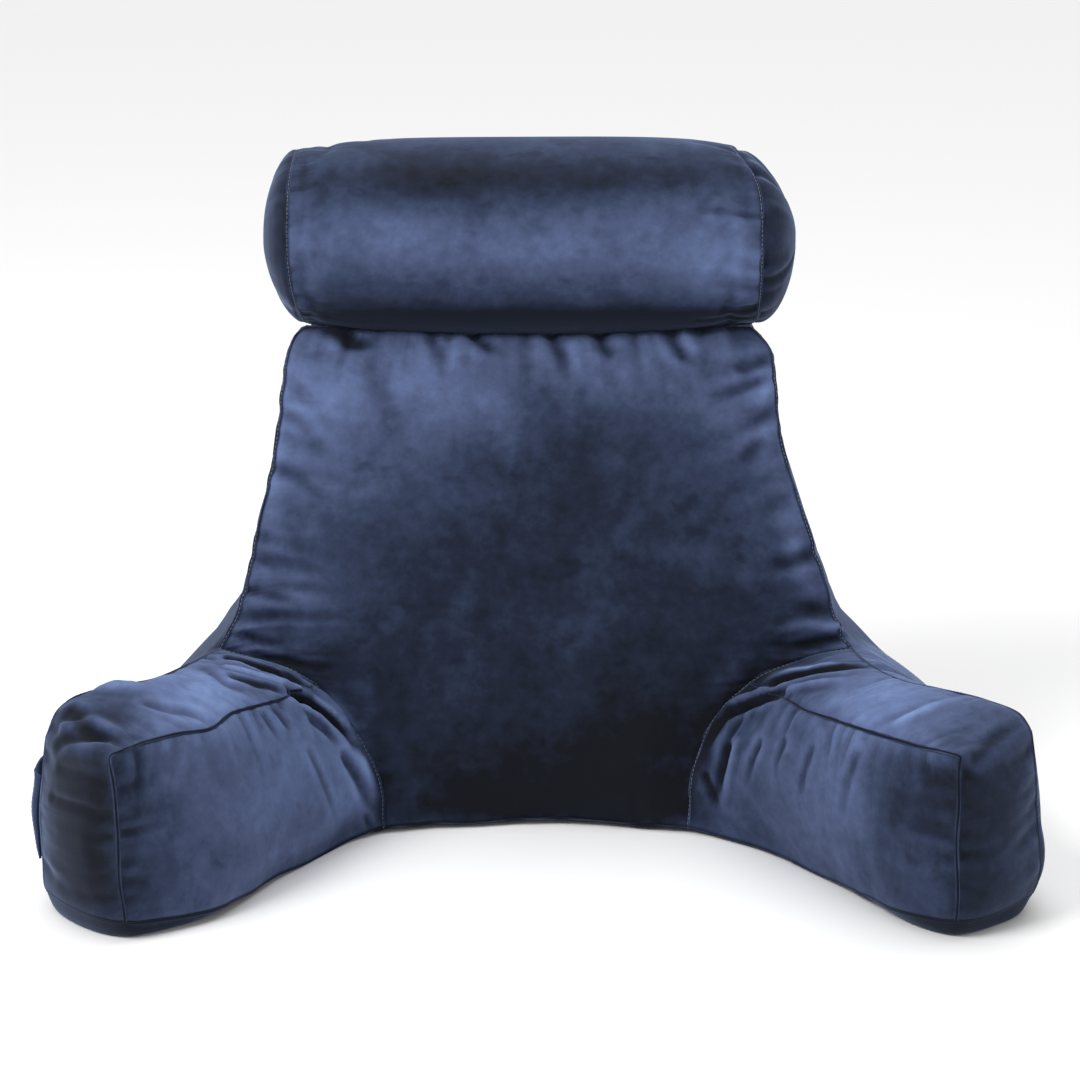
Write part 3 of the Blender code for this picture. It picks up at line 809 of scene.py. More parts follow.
def velvetMaterial(name, shades):
    # polyester velvet, 1 mm pile: deep navy face on, pale at a slant, smudged where hands crushed the nap
    material, tree, shader = plainMaterial(name, Roughness=0.8, Specular_IOR_Level=0.15, Sheen_Weight=0.74,
                                           Sheen_Roughness=0.42, Sheen_Tint=linear("#8293ba"))
    where = addNode(tree, "ShaderNodeTexCoord").outputs["Object"]
    brushed = addNode(tree, "ShaderNodeMapping", {"Vector": where},
                      Rotation=(0.5, 0.9, 0.4), Scale=(40, 95, 60))
    # the nap, with its painted light and shade, turned into colour below
    total = addNode(tree, "ShaderNodeAttribute", attribute_name="nap_and_shade").outputs["Fac"]
    # noise: where, scale, detail, roughness, distortion, its range, how much darker, how much lighter
    for place, scale, detail, rough, bent, low, high, less, more in (
        (where, 13.0, 4.0, 0.5, 0.5, 0.30, 0.70, -0.12, 0.12),       # smudges
        (where, 95.0, 4.0, 0.65, 0.0, 0.30, 0.70, -0.065, 0.065),    # crushed tufts
        (brushed, 1.0, 2.0, 0.5, 0.0, 0.26, 0.40, -0.08, 0.0),       # short dark marks
    ):
        noise = addNode(tree, "ShaderNodeTexNoise", {"Vector": place},
                        Scale=scale, Detail=detail, Roughness=rough, Distortion=bent)
        spread = addNode(tree, "ShaderNodeMapRange", {"Value": noise},
                         From_Min=low, From_Max=high, To_Min=less, To_Max=more)
        total = addNode(tree, "ShaderNodeMath", {0: total, 1: spread}, operation="ADD")
    ramp = addNode(tree, "ShaderNodeValToRGB", {"Fac": total})
    stops = ramp.color_ramp.elements
    for number in range(1, len(shades) - 1):
        stops.new(number / (len(shades) - 1))
    for stop, shade in zip(stops, shades):
        stop.color = linear(shade)
    tree.links.new(ramp.outputs["Color"], shader.inputs["Base Color"])
    # small gathers that run off the seams, about 9 mm apart
    cloth = addNode(tree, "ShaderNodeUVMap", uv_map="cloth")
    gathered = []
    for attribute, stretch in (("gatherU", (9, 110, 1)), ("gatherV", (110, 9, 1))):
        drawn = addNode(tree, "ShaderNodeMapping", {"Vector": cloth}, Scale=stretch)
        noise = addNode(tree, "ShaderNodeTexNoise", {"Vector": drawn}, Scale=1.0, Detail=1.5, Roughness=0.45)
        close = addNode(tree, "ShaderNodeAttribute", attribute_name=attribute).outputs["Fac"]
        gathered.append(addNode(tree, "ShaderNodeMath", {0: noise, 1: close}, operation="MULTIPLY"))
    height = addNode(tree, "ShaderNodeMath", dict(enumerate(gathered)), operation="ADD")
    gathers = addNode(tree, "ShaderNodeBump", {"Height": height}, Strength=1.0, Distance=0.0028)
    # pile tufts of 0.4 mm are too fine to show: drawn at about 1.5 mm
    pile = addNode(tree, "ShaderNodeTexNoise", {"Vector": where}, Scale=650.0, Detail=2.0)
    bump = addNode(tree, "ShaderNodeBump", {"Height": pile, "Normal": gathers}, Strength=0.2, Distance=0.0006)
    tree.links.new(bump.outputs["Normal"], shader.inputs["Normal"])
    return material


# floor, light and camera

view = {
    "target": (0.0035, 0.0, 0.22),        # in the frame of the cutting table
    "distance": 2.2,
    "above": radians(16),
    "lens": 36 * 2900 / 1080,
    "sensor": 36,
}
target = Vector(view["target"]) - Vector(cover["middle"])
eye = target + Vector((0, -np.cos(view["above"]), np.sin(view["above"]))) * view["distance"]
camera = addObject("camera", bpy.data.cameras.new("camera"))
camera.data.lens = view["lens"]
camera.data.sensor_width = view["sensor"]
camera.location = eye
camera.rotation_euler = (target - eye).to_track_quat("-Z", "Y").to_euler()
scene.camera = camera


def addLight(name, kind, aim, power):
    lamp = addObject(name, bpy.data.lights.new(name, kind))
    lamp.data.energy = power
    lamp.rotation_euler = aim.to_track_quat("-Z", "Y").to_euler()
    return lamp


def areaLight(name, place, aim, size, power):
    lamp = addLight(name, "AREA", Vector(aim) - Vector(place), power)
    lamp.location = place
    lamp.data.shape = "SQUARE"
    lamp.data.size = size


areaLight("key", (-1.6, -1.1, 2.0), (0, 0, 0.2), 1.1, 52)
areaLight("fill", (1.9, -1.6, 1.2), (0, 0, 0.2), 1.6, 6)
addLight("sky", "SUN", Vector((-0.1, -0.35, -1.0)), 1.85).data.angle = radians(60)
scene.view_settings.view_transform = "Standard"

world = bpy.data.worlds.new("studio")
world.use_nodes = True
background = world.node_tree.nodes["Background"].inputs
background["Color"].default_value, background["Strength"].default_value = linear("#ffffff"), 0.42
scene.world = world

# white studio paper, matt
paper = plainMaterial("studio_paper", Base_Color=linear("#f4f4f4"), Roughness=0.9)[0]
floor = addPiece("floor", [(-15, -15, 0), (15, -15, 0), (15, 15, 0), (-15, 15, 0)], [], [(0, 1, 2, 3)])
floor.data.materials.append(paper)

# the cover: cut, filled, folded

cushion = {
    "pressure": 2.2,
    "extra": 0.004,                       # share of spare cloth
    "frames": 20,
    "cap": 0.009,                         # as far as the filling may push it
    "armCap": 0.35,                       # arms and flanks: a share of that
    "armPush": 0.22,                      # they are packed less tightly, and their fronts still less
    "toePush": 0.10,
    "armY": -0.045,                       # the arms start in front of this
    "flank": (0.19, 0.1, 0.2, 0.12),      # half width, wider below a height by this share, and rear end
    "toe": (-0.15, -0.135, 0.12),         # fronts of the arms, and a little more of them above a height
    "onFloor": 0.0004,                    # held below this height
    "trough": (0.350, 0.080, 0.188),      # held under the roll: above this height, from front to back
    "cornerReach": 0.015,
    "foldShade": (62, -0.55, 0.2),        # painted shade in fold valleys, painted highlight on fold ridges: how much lighter a fold is for each metre of rise; its limits
}

grids, seams = cutCover()
pillowCover, onSeam, coverSizes = sewTogether("pillow_cover", grids, seams)
x, y, z = pointsOf(pillowCover.data).T
report("cover cut: %d points, %d faces" % (len(x), len(pillowCover.data.polygons)))
height, troughFront, troughBack = cushion["trough"]
held = onSeam | (z < cushion["onFloor"]) | ((z > height) & (y > troughFront) & (y < troughBack))
halfWidth, wider, below, rear = cushion["flank"]
isArm = (y < cushion["armY"]) | ((np.abs(x) > halfWidth + wider * (below - z)) & (y < rear))
toeY, toeTopY, toeHeight = cushion["toe"]
isToe = (y < toeY) | ((y < toeTopY) & (z > toeHeight))
fillWithPressure(pillowCover, held, cushion["pressure"], cushion["extra"], cushion["frames"],
                 cushion["cap"] * np.where(isArm, cushion["armCap"], 1.0),
                 push=np.where(isArm, np.where(isToe, cushion["toePush"], cushion["armPush"]), 1.0))
subdivided(pillowCover)
report("cover filled: %d faces" % len(pillowCover.data.polygons))

# the folds that the front shows: half width and rise in mm, then where they run, in pixels of the view
shownFolds = (
    # left root of the arm
    (5, -9.0, (230, 659), (262, 669), (300, 683)), (3.5, 3.0, (226, 667), (262, 676), (300, 690)),
    (4, -3.0, (232, 677), (262, 686), (294, 697)), (6, -9.0, (291, 692), (318, 706), (343, 727), (360, 752)),
    (4.5, 3.0, (306, 685), (331, 703), (352, 728)), (3.5, -3.0, (312, 719), (324, 730), (336, 742)),
    (5.5, -4.5, (345, 757), (360, 782), (371, 808)), (4.5, 2.5, (358, 752), (368, 774), (375, 796)),
    (3, -2.0, (366, 816), (370, 828)), (3.5, -3.0, (274, 709), (284, 720), (293, 731)),
    (3.5, -2.5, (264, 715), (272, 727), (279, 738)), (4, -2.0, (310, 752), (326, 788), (336, 822)),
    # top and front of the left arm
    (7, -5.5, (70, 712), (95, 733), (138, 756)), (6, -3.2, (58, 745), (92, 738), (128, 742)),
    (6, 4.0, (66, 727), (90, 722), (120, 733)), (9, 5.0, (104, 690), (125, 690), (150, 692)),
    (4, -2.2, (52, 797), (85, 808), (118, 822)), (4, -1.5, (60, 768), (90, 776), (112, 790)),
    (6, -2.5, (150, 705), (185, 712), (215, 722)), (6, -2.5, (205, 668), (228, 684), (262, 694)),
    # right root of the arm
    (6, -10.0, (776, 682), (808, 674), (842, 668), (862, 667)), (5, 3.5, (790, 690), (820, 683), (850, 680)),
    (4, 3.5, (734, 704), (755, 694), (782, 687)), (5, -7.5, (732, 713), (755, 702), (784, 693)),
    (5, -6.0, (730, 712), (714, 732), (704, 754)), (3.5, -3.0, (742, 718), (731, 735), (722, 754)),
    (5, -5.5, (728, 748), (720, 774), (716, 800)), (3.5, 2.5, (738, 740), (731, 768), (727, 796)),
    (4, -3.5, (706, 776), (711, 790), (717, 806)), (4, -3.0, (760, 742), (752, 760), (747, 780)),
    (3.5, -2.2, (784, 742), (778, 756), (775, 772)), (4, -1.8, (812, 748), (803, 776), (800, 800)),
    (5, -1.8, (856, 756), (846, 786), (842, 816)), (12, -1.2, (912, 756), (932, 776), (945, 800)),
    (7, -3.0, (977, 755), (996, 738), (1016, 724)), (6, 2.5, (900, 722), (930, 708), (960, 700)),
    # front panel
    (7, -1.4, (258, 556), (290, 560), (330, 574)), (4.5, -2.6, (246, 590), (272, 596), (300, 604)),
    (6, -1.8, (244, 617), (290, 614), (340, 618)), (4.5, -2.6, (238, 633), (262, 641), (288, 648)),
    (4.5, -2.8, (256, 655), (284, 661), (311, 666), (336, 668)), (5.5, -4.5, (842, 637), (814, 643), (780, 649)),
    (5.5, 2.5, (838, 628), (805, 624), (770, 634)), (8, -2.4, (826, 608), (806, 606), (784, 602)),
    (7, -3.2, (812, 553), (795, 561), (763, 567)), (8, -1.0, (790, 500), (772, 505), (755, 515)),
    (7, -2.2, (782, 441), (760, 444), (738, 462)), (8, -1.8, (774, 410), (758, 420), (742, 428)),
    (6, -2.4, (766, 378), (745, 387), (712, 399)), (8, -2.8, (768, 359), (752, 365), (732, 371)),
    (8, -1.2, (290, 382), (309, 400), (330, 434)), (7, -1.2, (284, 412), (305, 428), (326, 462)),
    (6, -1.2, (276, 470), (300, 480), (330, 500)), (9, -4.5, (345, 336), (356, 344), (372, 338)),
    (12, -1.2, (372, 360), (384, 400), (396, 440)), (7, -4.0, (470, 334), (482, 342), (500, 352)),
    (7, -4.5, (548, 334), (558, 348), (566, 372)), (7, -4.0, (596, 334), (604, 346), (622, 356)),
    (7, -3.5, (668, 334), (680, 350), (700, 366)), (7, -3.0, (430, 336), (438, 350), (440, 372)),
)
# panels and seams, from, to, every, reach, half width, depth, lean
coverPuckers = (
    ("front u0", 0.44, 0.98, 0.060, 0.16, 0.0055, 0.0022, -0.03),
    ("front u1", 0.44, 0.98, 0.050, 0.15, 0.0060, 0.0016, -0.04),
    ("front v1", 0.04, 0.96, 0.070, 0.09, 0.0060, 0.0026, 0.00),
    ("front u0, front u1", 0.02, 0.42, 0.070, 0.10, 0.0060, 0.0015, 0.02),
    ("inner_left v1", 0.05, 0.95, 0.080, 0.35, 0.0050, 0.0022, 0.05),
    ("inner_left u1", 0.10, 0.95, 0.120, 0.12, 0.0050, 0.0020, 0.00),
    ("inner_right v1", 0.05, 0.95, 0.070, 0.35, 0.0050, 0.0022, 0.05),
    ("inner_right u1", 0.10, 0.95, 0.120, 0.12, 0.0050, 0.0018, 0.00),
    ("gusset_left v0", 0.05, 0.95, 0.050, 0.35, 0.0050, 0.0018, 0.02),
    ("gusset_left v1", 0.05, 0.95, 0.050, 0.35, 0.0050, 0.0020, 0.02),
    ("gusset_right v0", 0.05, 0.95, 0.050, 0.35, 0.0050, 0.0018, 0.02),
    ("gusset_right v1", 0.05, 0.95, 0.050, 0.35, 0.0050, 0.0020, 0.02),
    ("outer_left v1, outer_right v1", 0.05, 0.95, 0.080, 0.30, 0.0055, 0.0020, 0.03),
    ("flank_left u1, flank_right u1", 0.40, 0.98, 0.060, 0.20, 0.0055, 0.0020, 0.02),
    ("flank_left u0, flank_right u0", 0.04, 0.98, 0.060, 0.20, 0.0055, 0.0020, 0.02),
    ("back u0, back u1", 0.04, 0.98, 0.060, 0.10, 0.0060, 0.0022, 0.02),
    ("back v1, back v0", 0.04, 0.98, 0.060, 0.10, 0.0060, 0.0022, 0.00),
)
topFold = ("gusset_left", 0.34, 0.80, 0.62, 0.70, 0.016, 0.0040)
shownRelief = foldsSeen(pillowCover, shownFolds)
relief = foldsOnPanels(pillowCover, coverSizes, [topFold] + puckersFrom(coverPuckers, 1)) + shownRelief
points = pointsOf(pillowCover.data) + normalsOf(pillowCover.data) * relief[:, None]
points[:, 2] = np.maximum(points[:, 2], 0.0)
setPoints(pillowCover.data, pressedByRoll(points + cover["middle"]) - cover["middle"])
armCorners = [seams[edge + side][0] for edge in ("innerFront", "outerFront") for side in ("_left", "_right")]
blunted(pillowCover, armCorners, cushion["cornerReach"])
report("cover folded")

# the neck roll: a filled tube with two domed ends

def turned(profile, sides):
    # a profile turned about the roll's middle line, with the end seams drawn in
    angle = np.linspace(0, 2 * pi, sides + 1)
    angle[-1] = 0
    along, radius = np.array(profile).T
    overTop, overBottom, overLength = roll["drawnPowers"]
    up, down = np.maximum(-np.cos(angle), 0) ** overTop, np.maximum(np.cos(angle), 0) ** overBottom
    share = np.minimum(np.abs(along) / roll["halfLength"], 1) ** overLength * (radius / roll["seamRadius"])
    left, right = (np.array([roll["drawnIn"][side]]).T for side in ("left", "right"))
    top, bottom = np.where(along < 0, left, -right)
    x = along[:, None] + (top[:, None] * up + bottom[:, None] * down) * share[:, None]
    y, z = -radius[:, None] * np.sin(angle), -radius[:, None] * np.cos(angle)
    return np.stack([x, y, z], axis=2) + np.array(roll["centre"]) - np.array(cover["middle"])


def cutRoll():
    length, sides = roll["halfLength"], roll["sides"]
    along = np.linspace(-length, length, roll["rings"] + 1)
    grids = {"tube": turned([(x, rollRadius(x)) for x in along], sides)}
    seams = {"end_left": grids["tube"][0], "end_right": grids["tube"][-1]}
    angle = np.linspace(0, pi / 2, roll["domeRings"] + 1)
    for side, sign in (("left", -1), ("right", 1)):
        reach = sign * (length + roll["domes"][side] * np.sin(angle))
        radius = roll["seamRadius"] * np.cos(angle)
        radius[-1] = 0
        dome = turned(list(zip(reach, radius)), sides)
        dome[0], dome[-1] = seams["end_" + side], dome[-1, :1]
        grids["dome_" + side] = dome
    return grids, seams


rollGrids, rollSeams = cutRoll()
neckRoll, onRollSeam, rollSizes = sewTogether("neck_roll_cover", rollGrids, rollSeams)
atEnds = np.abs(pointsOf(neckRoll.data)[:, 0] - roll["centre"][0] + cover["middle"][0]) > roll["halfLength"]
fillWithPressure(neckRoll, onRollSeam, roll["pressure"], roll["extra"], roll["frames"],
                 np.where(atEnds, roll["domeCap"], roll["cap"]))
subdivided(neckRoll)
rollPuckers = (
    ("tube v1", 0.02, 0.98, 0.045, 0.11, 0.0045, 0.0022, 0.02),
    ("tube v0", 0.02, 0.98, 0.060, 0.06, 0.0045, 0.0014, 0.01),
    ("dome_right v0", 0.02, 0.98, 0.050, 0.60, 0.0045, 0.0028, 0.00),
    ("dome_left v0", 0.02, 0.98, 0.070, 0.45, 0.0045, 0.0018, 0.00),
)
rollRelief = foldsOnPanels(neckRoll, rollSizes, puckersFrom(rollPuckers, 31), held=0.003)
setPoints(neckRoll.data, pointsOf(neckRoll.data) + normalsOf(neckRoll.data) * rollRelief[:, None])
report("neck roll made: %d faces" % len(neckRoll.data.polygons))

# the side pocket: a patch on the outside of the left arm, open at its mouth

pocket = {
    "sidesY": (-0.096, -0.179),           # rear and front edge, in the cutting table's frame
    "heights": (0.034, 0.106),            # sewn foot and open mouth
    "frontDrop": 0.13,                    # the mouth hangs lower towards the front, as a share
    "bow": 0.0135,                        # how far the middle of the mouth stands off
    "slack": 0.6,
    "ripple": (0.0012, 17, 1.3, 9),       # height, waves along, where they start, waves up
    "off": 0.0006,                        # from the arm
    "thickness": 0.0018,
    "hem": 0.011,
    "margin": 2,                          # threads between the sewn edges and their stitches
    "onTop": 0.0002,                      # of the cloth: the stitches
    "steps": (36, 32),
}


def makePocket():
    tree = treeOf(pillowCover)
    across, up = pocket["steps"]
    ys = np.linspace(*pocket["sidesY"], across + 1) - cover["middle"][1]
    zs = np.linspace(*pocket["heights"], up + 1)
    spots, outs = np.zeros((2, up + 1, across + 1, 3))
    for row, z in enumerate(zs):
        for column, y in enumerate(ys):
            lower = z - (z - zs[0]) * pocket["frontDrop"] * column / across
            hit = tree.ray_cast(Vector((-0.5, y, lower)), Vector((1, 0, 0)))
            spots[row, column], outs[row, column] = hit[:2]
    spots, outs = relaxed(spots, 6), unit(relaxed(outs, 6))
    u, v = shareOf(spots)
    high, along, phase, upwards = pocket["ripple"]
    bow = pocket["bow"] * (4 * u * (1 - u)) ** 0.5 * v ** pocket["slack"]
    ripple = high * np.sin(u * along + phase) * np.sin(v * upwards) * v
    grid = spots + outs * (pocket["off"] + bow + ripple)[:, :, None]
    quads = quadsOf(up + 1, across + 1)[:, [0, 3, 2, 1]]   # facing the arm: the thickness goes outwards
    obj = addPiece("side_pocket_cloth", grid.reshape(-1, 3).tolist(), [], quads.tolist())
    thick = obj.modifiers.new("thick", "SOLIDIFY")
    thick.thickness = pocket["thickness"]
    thick.offset = -1
    applied(obj, thick)
    return obj, grid, outs, sizeOf(grid)


sidePocket, pocketGrid, pocketOuts, pocketSize = makePocket()
report("pocket made: %.3f x %.3f m" % pocketSize)

# seams and their stitches

# painted shade in the groove, and a painted highlight on the higher lip on the lit side
seamLipsAndShade = (
    (-0.0019, -0.0004, 0.22), (-0.0010, 0.0004, 0.30), (-0.0003, 0.0002, -0.2), (0.0, 0.0001, -0.9),
    (0.0003, 0.0002, -0.2), (0.0010, 0.0006, 0.42), (0.0019, -0.0004, 0.22),
)
# the lower seams are flatter and lie in the shade of the cushion
baseLips = [(out, up * 0.6, min(light, 0.0)) for out, up, light in seamLipsAndShade]
shown = [name for name in seams if not name.startswith(("topEnd", "topFront"))]
low = [name for name in shown if "ottom" in name or name.startswith("toe")]
coverLines = dict(zip(shown, alongSeams([seams[name] for name in shown], pillowCover)))
rollLines = alongSeams(list(rollSeams.values()), neckRoll)
coverSeamStrip = seamStrip("cover_seams", [coverLines[name] for name in shown if name not in low], seamLipsAndShade)
baseSeamStrip = seamStrip("base_seams", [coverLines[name] for name in low], baseLips)
rollSeamStrip = seamStrip("roll_seams", rollLines, seamLipsAndShade)
report("seams laid")

stitch = {
    "pitch": 0.0034,
    "length": 0.0025,
    "thickness": 0.0005,
    "lift": 0.0003,                       # above the cloth, between the lips of the seam
}


def stitchTree(material):
    tree = bpy.data.node_groups.new("stitches", "GeometryNodeTree")
    for name, way, kind in (("Seam lines", "INPUT", "Geometry"), ("Pitch", "INPUT", "Float"),
                            ("Length", "INPUT", "Float"), ("Thickness", "INPUT", "Float"),
                            ("Stitches", "OUTPUT", "Geometry")):
        tree.interface.new_socket(name=name, in_out=way, socket_type="NodeSocket" + kind)
    given = addNode(tree, "NodeGroupInput").outputs
    lines = addNode(tree, "GeometryNodeMeshToCurve", {"Mesh": given["Seam lines"]})
    even = addNode(tree, "GeometryNodeResampleCurve", {"Curve": lines, "Length": given["Pitch"]},
                   mode="LENGTH")
    radius = addNode(tree, "ShaderNodeMath", {0: given["Thickness"]}, operation="DIVIDE")
    radius.inputs[1].default_value = 2.0
    thread = addNode(tree, "GeometryNodeMeshCylinder", {"Radius": radius, "Depth": given["Length"]},
                     Vertices=5)
    tangent = addNode(tree, "GeometryNodeInputTangent")
    turn = addNode(tree, "FunctionNodeAlignRotationToVector", {"Vector": tangent}, axis="Z")
    placed = addNode(tree, "GeometryNodeInstanceOnPoints",
                     {"Points": even, "Instance": thread, "Rotation": turn})
    real = addNode(tree, "GeometryNodeRealizeInstances", {"Geometry": placed})
    coloured = addNode(tree, "GeometryNodeSetMaterial", {"Geometry": real}, Material=material)
    addNode(tree, "NodeGroupOutput", {"Stitches": coloured})
    return tree


def threadMaterial():
    # spun polyester thread: a shade lighter than the velvet, slightly glossy
    material, tree, shader = plainMaterial("polyester_thread", Roughness=0.5)
    where = addNode(tree, "ShaderNodeTexCoord").outputs["Object"]
    uneven = addNode(tree, "ShaderNodeTexNoise", {"Vector": where}, Scale=160.0, Detail=2.0)
    tone = addNode(tree, "ShaderNodeValToRGB", {"Fac": uneven})
    for stop, shade in zip(tone.color_ramp.elements, ("#2e3850", "#7f8aa3")):
        stop.color = linear(shade)
    tree.links.new(tone.outputs["Color"], shader.inputs["Base Color"])
    return material


def sewStitches(name, lines):
    corners, edges = [], []
    for spots, _, ups in lines:
        first = len(corners)
        corners += (spots + ups * stitch["lift"]).tolist()
        edges += [(first + i, first + i + 1) for i in range(len(spots) - 1)]
    obj = addPiece(name, corners, edges, [])
    tree = stitchTree(threadMaterial())
    sewing = obj.modifiers.new("sewing", "NODES")
    sewing.node_group = tree
    for socket in tree.interface.items_tree:
        if socket.in_out == "INPUT" and socket.name.lower() in stitch:
            sewing[socket.identifier] = stitch[socket.name.lower()]
    obj.update_tag()
    applied(obj, sewing)
    return obj


def onPocket(rows, columns, steps=120):
    # a line of stitches on the pocket's outside
    line = pocketGrid[rows, columns] + pocketOuts[rows, columns] * (pocket["thickness"] + pocket["onTop"])
    return smoothThrough(line, steps), None, np.zeros((steps + 1, 3))


stitched = ("arcLow", "arcHigh", "side", "back", "backTop")
sewn = [coverLines[name] for name in shown if name.split("_")[0] in stitched]
hemRow = int(round((1 - pocket["hem"] / pocketSize[1]) * pocket["steps"][1]))
across, up = pocket["steps"]
margin = pocket["margin"]
down, over = np.arange(up, margin - 1, -1), np.arange(margin, across + 1 - margin)
edgeRows = np.concatenate([down, np.full(len(over), margin), down[::-1]])
edgeColumns = np.concatenate([np.full(len(down), margin), over, np.full(len(down), across - margin)])
pocketLines = [onPocket(hemRow, slice(None)), onPocket(edgeRows, edgeColumns)]
stitches = sewStitches("seam_stitches", sewn + rollLines + pocketLines)
report("stitches sewn: %d faces" % len(stitches.data.polygons))

# how the nap lies, with painted light and shade: strokes are x, y, reach across, reach up, how much lighter

# part nap, part painted light and shade: the tops of the arms painted lighter, the foot of the front and the
# recesses beside the arms painted darker
coverNapAndLightStrokes = (
    # backrest
    (350, 390, 80, 50, 0.34), (398, 370, 20, 34, 0.08), (270, 655, 22, 10, 0.16), (500, 370, 90, 40, 0.14),
    (620, 370, 90, 30, 0.16), (690, 342, 26, 10, 0.22), (730, 385, 45, 45, 0.20), (320, 490, 60, 70, 0.20),
    (440, 390, 20, 50, 0.12), (480, 435, 35, 40, 0.16), (295, 600, 45, 40, 0.18), (350, 575, 45, 35, -0.08),
    (430, 600, 60, 60, -0.06), (385, 708, 24, 30, -0.24), (345, 665, 35, 25, -0.20), (450, 655, 40, 40, -0.10),
    (665, 802, 30, 20, -0.30), (700, 752, 18, 36, -0.20), (800, 600, 14, 10, 0.14), (380, 785, 8, 30, -0.25),
    (226, 622, 28, 32, -0.70), (206, 642, 18, 18, -0.45), (740, 480, 50, 60, 0.14), (590, 570, 80, 110, -0.10),
    (735, 540, 26, 40, -0.10), (700, 600, 60, 50, -0.06), (530, 780, 130, 60, -0.30), (650, 740, 50, 60, -0.15),
    (780, 600, 50, 40, -0.05), (540, 470, 70, 60, -0.10), (300, 430, 30, 60, 0.08), (272, 490, 10, 55, 0.26),
    (766, 395, 10, 40, 0.20), (790, 525, 10, 34, 0.24), (803, 568, 10, 22, 0.20), (255, 642, 22, 14, 0.14),
    # left arm
    (200, 690, 60, 30, 0.52), (235, 722, 50, 22, 0.14), (160, 745, 36, 18, 0.12), (122, 688, 20, 8, 0.16),
    (100, 738, 24, 8, 0.16), (60, 715, 12, 12, -0.14), (330, 690, 30, 25, 0.16), (310, 735, 40, 45, 0.22),
    (350, 770, 25, 40, 0.36), (345, 806, 30, 22, 0.16), (368, 800, 12, 25, 0.26), (270, 800, 90, 60, 0.46),
    (290, 850, 55, 12, 0.16), (150, 850, 30, 60, 0.06), (82, 825, 38, 85, -0.42), (56, 810, 16, 80, -0.30),
    (103, 775, 14, 30, -0.14),
    # right arm
    (890, 700, 80, 30, 0.45), (820, 790, 80, 60, 0.26), (765, 740, 30, 35, 0.12), (720, 780, 25, 50, 0.22),
    (870, 655, 40, 30, 0.12), (850, 845, 45, 18, -0.06), (925, 790, 40, 50, -0.08), (915, 814, 22, 18, -0.15),
    (970, 900, 18, 20, -0.12), (1032, 890, 10, 20, -0.25), (957, 765, 10, 28, -0.12), (962, 845, 9, 60, -0.16),
    (1000, 830, 35, 70, -0.14),
)
# whole panels set to one level: the undersides and the left side painted darker as shade
coverPanelNapAndShade = {"base": 0.0, "armBase_left": -0.2, "armBase_right": -0.2, "sideBase_left": 0.0,
               "sideBase_right": 0.0, "flank_left": 0.10, "outer_left": 0.24}
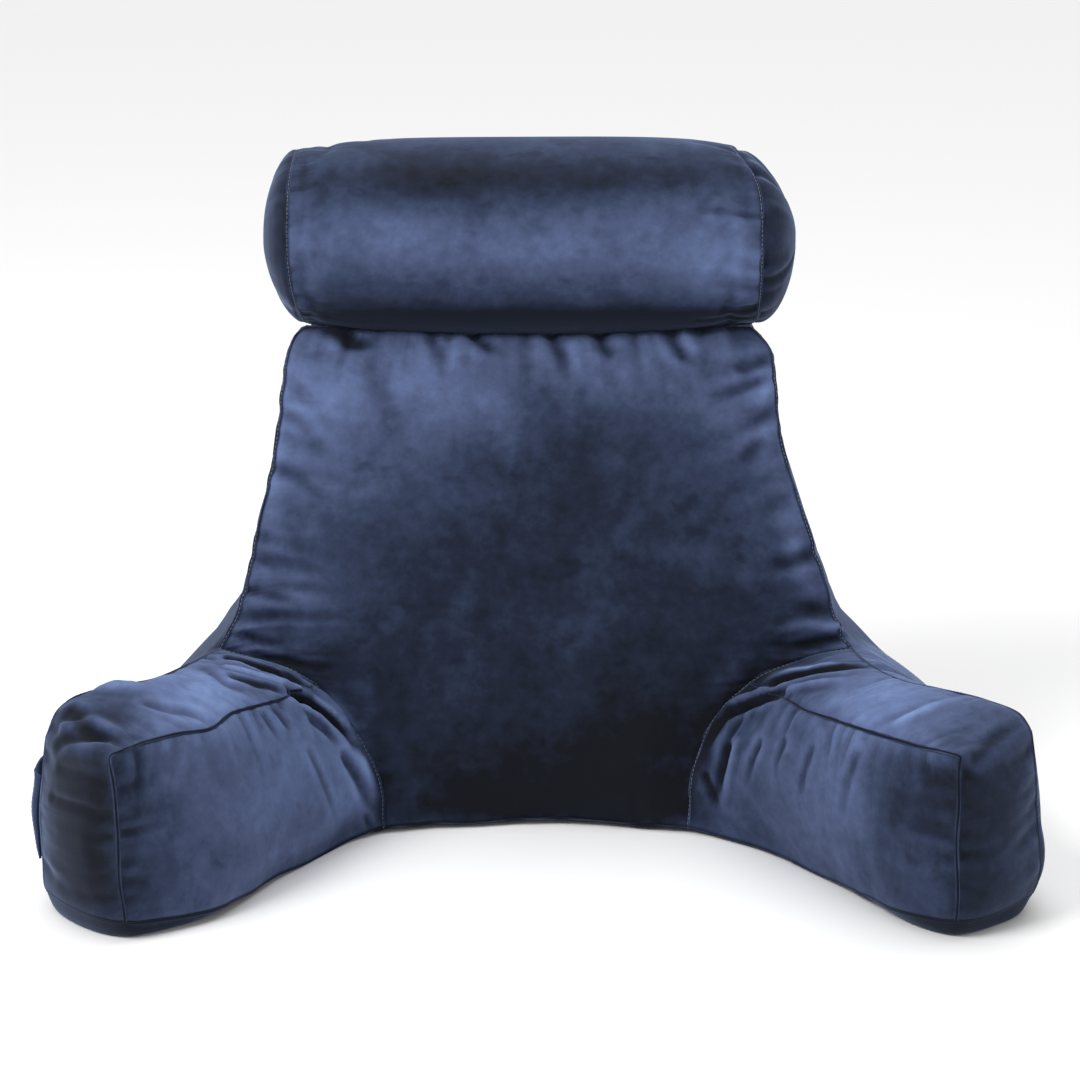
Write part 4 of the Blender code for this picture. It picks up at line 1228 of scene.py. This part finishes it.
# half width in mm, how much lighter, pixels: painted shade in the gaps and painted highlights on the ridges at
# the roots of the arms
coverLightAndShadeLines = (
    (10, -0.30, (700, 765), (711, 725), (733, 697), (757, 680), (790, 665), (832, 655)),
    (4.5, -0.80, (866, 668), (837, 668), (795, 677), (766, 684)), (3, 0.50, (774, 676), (800, 668), (848, 664)),
    (4.5, -0.90, (730, 711), (755, 702), (782, 692)), (2.8, 0.45, (734, 707), (754, 698), (776, 690)),
    (4, -0.60, (705, 752), (717, 734), (732, 720)),
    (10, -0.20, (248, 655), (300, 668), (340, 690), (362, 722), (376, 765), (384, 800)),
    (4, -1.10, (228, 659), (256, 668), (290, 679), (312, 693)), (2.8, 0.40, (226, 667), (262, 676), (298, 689)),
    (3, 0.45, (306, 692), (322, 703), (342, 722), (354, 742)), (3.5, -0.45, (232, 677), (262, 686), (294, 697)),
    (4.5, -0.75, (296, 697), (318, 711), (345, 732)), (2.5, -0.40, (302, 709), (321, 722), (337, 740)),
    # painted shade along the foot of the front
    (14, -0.15, (392, 812), (460, 809), (540, 806), (620, 808), (680, 813)),
    # painted shadow under the neck roll
    (6, -0.60, (318, 329), (337, 334), (352, 343), (364, 343)),
    (4, -0.50, (326, 329), (360, 330), (400, 331), (440, 334), (480, 336)),
    (4, -0.50, (540, 335), (600, 334), (660, 332), (720, 329), (750, 326)),
)
# light and dark bands of the nap on the roll, and a painted shadow along its underside where it sits on the
# backrest
rollNapAndLightStrokes = (
    (340, 240, 90, 30, 0.20), (480, 246, 110, 30, 0.14), (640, 250, 110, 28, 0.18), (650, 200, 90, 30, 0.10),
    (730, 262, 50, 36, 0.28), (500, 215, 26, 14, -0.07), (380, 195, 50, 22, -0.06), (420, 176, 180, 16, -0.17),
    (660, 176, 180, 16, -0.14), (738, 152, 18, 6, -0.20), (420, 310, 180, 10, -0.10), (660, 312, 180, 10, -0.10),
    (540, 327, 260, 12, -0.60), (540, 322, 280, 8, -0.60), (753, 235, 9, 26, -0.12),
)
# painted light and shade on the cover: fold valleys and hollows darker, fold ridges and proud places lighter,
# and a painted shadow along the top front seam under the roll
lighter, least, most = cushion["foldShade"]
brushNapAndShade(pillowCover, 0.31, coverNapAndLightStrokes, hollowShade=0.16, sizes=coverSizes, panels=coverPanelNapAndShade,
         folds=np.clip(shownRelief * lighter, least, most), shaded=[(3.5, -0.8, seams["topFront"])],
         lines=coverLightAndShadeLines)
# the domed ends of the roll painted darker as shade
brushNapAndShade(neckRoll, 0.33, rollNapAndLightStrokes, hollowShade=0.14, sizes=rollSizes,
         panels={"dome_left": 0.04, "dome_right": 0.12})
brushNapAndShade(sidePocket, 0.34)

# finish: the velvet and smooth shading on each piece, each attached to the body, and the CAD parts hidden

velvet = velvetMaterial("crushed_velvet", ("#080b13", "#192134", "#2e3953", "#465171", "#58688f", "#6e83ae"))
for piece, slot in ((pillowCover, "cover"), (neckRoll, "roll_cover"), (coverSeamStrip, "cover"),
                    (baseSeamStrip, "cover"), (rollSeamStrip, "roll_cover"), (sidePocket, "pocket")):
    piece.data.materials.clear()
    piece.data.materials.append(velvet)
    piece.data.shade_smooth()
    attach(piece, root)
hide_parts("backrest", "arm_left", "arm_right")
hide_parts("neck_roll", "neck_roll_end_left", "neck_roll_end_right")
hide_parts("side_pocket")
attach(stitches, root)
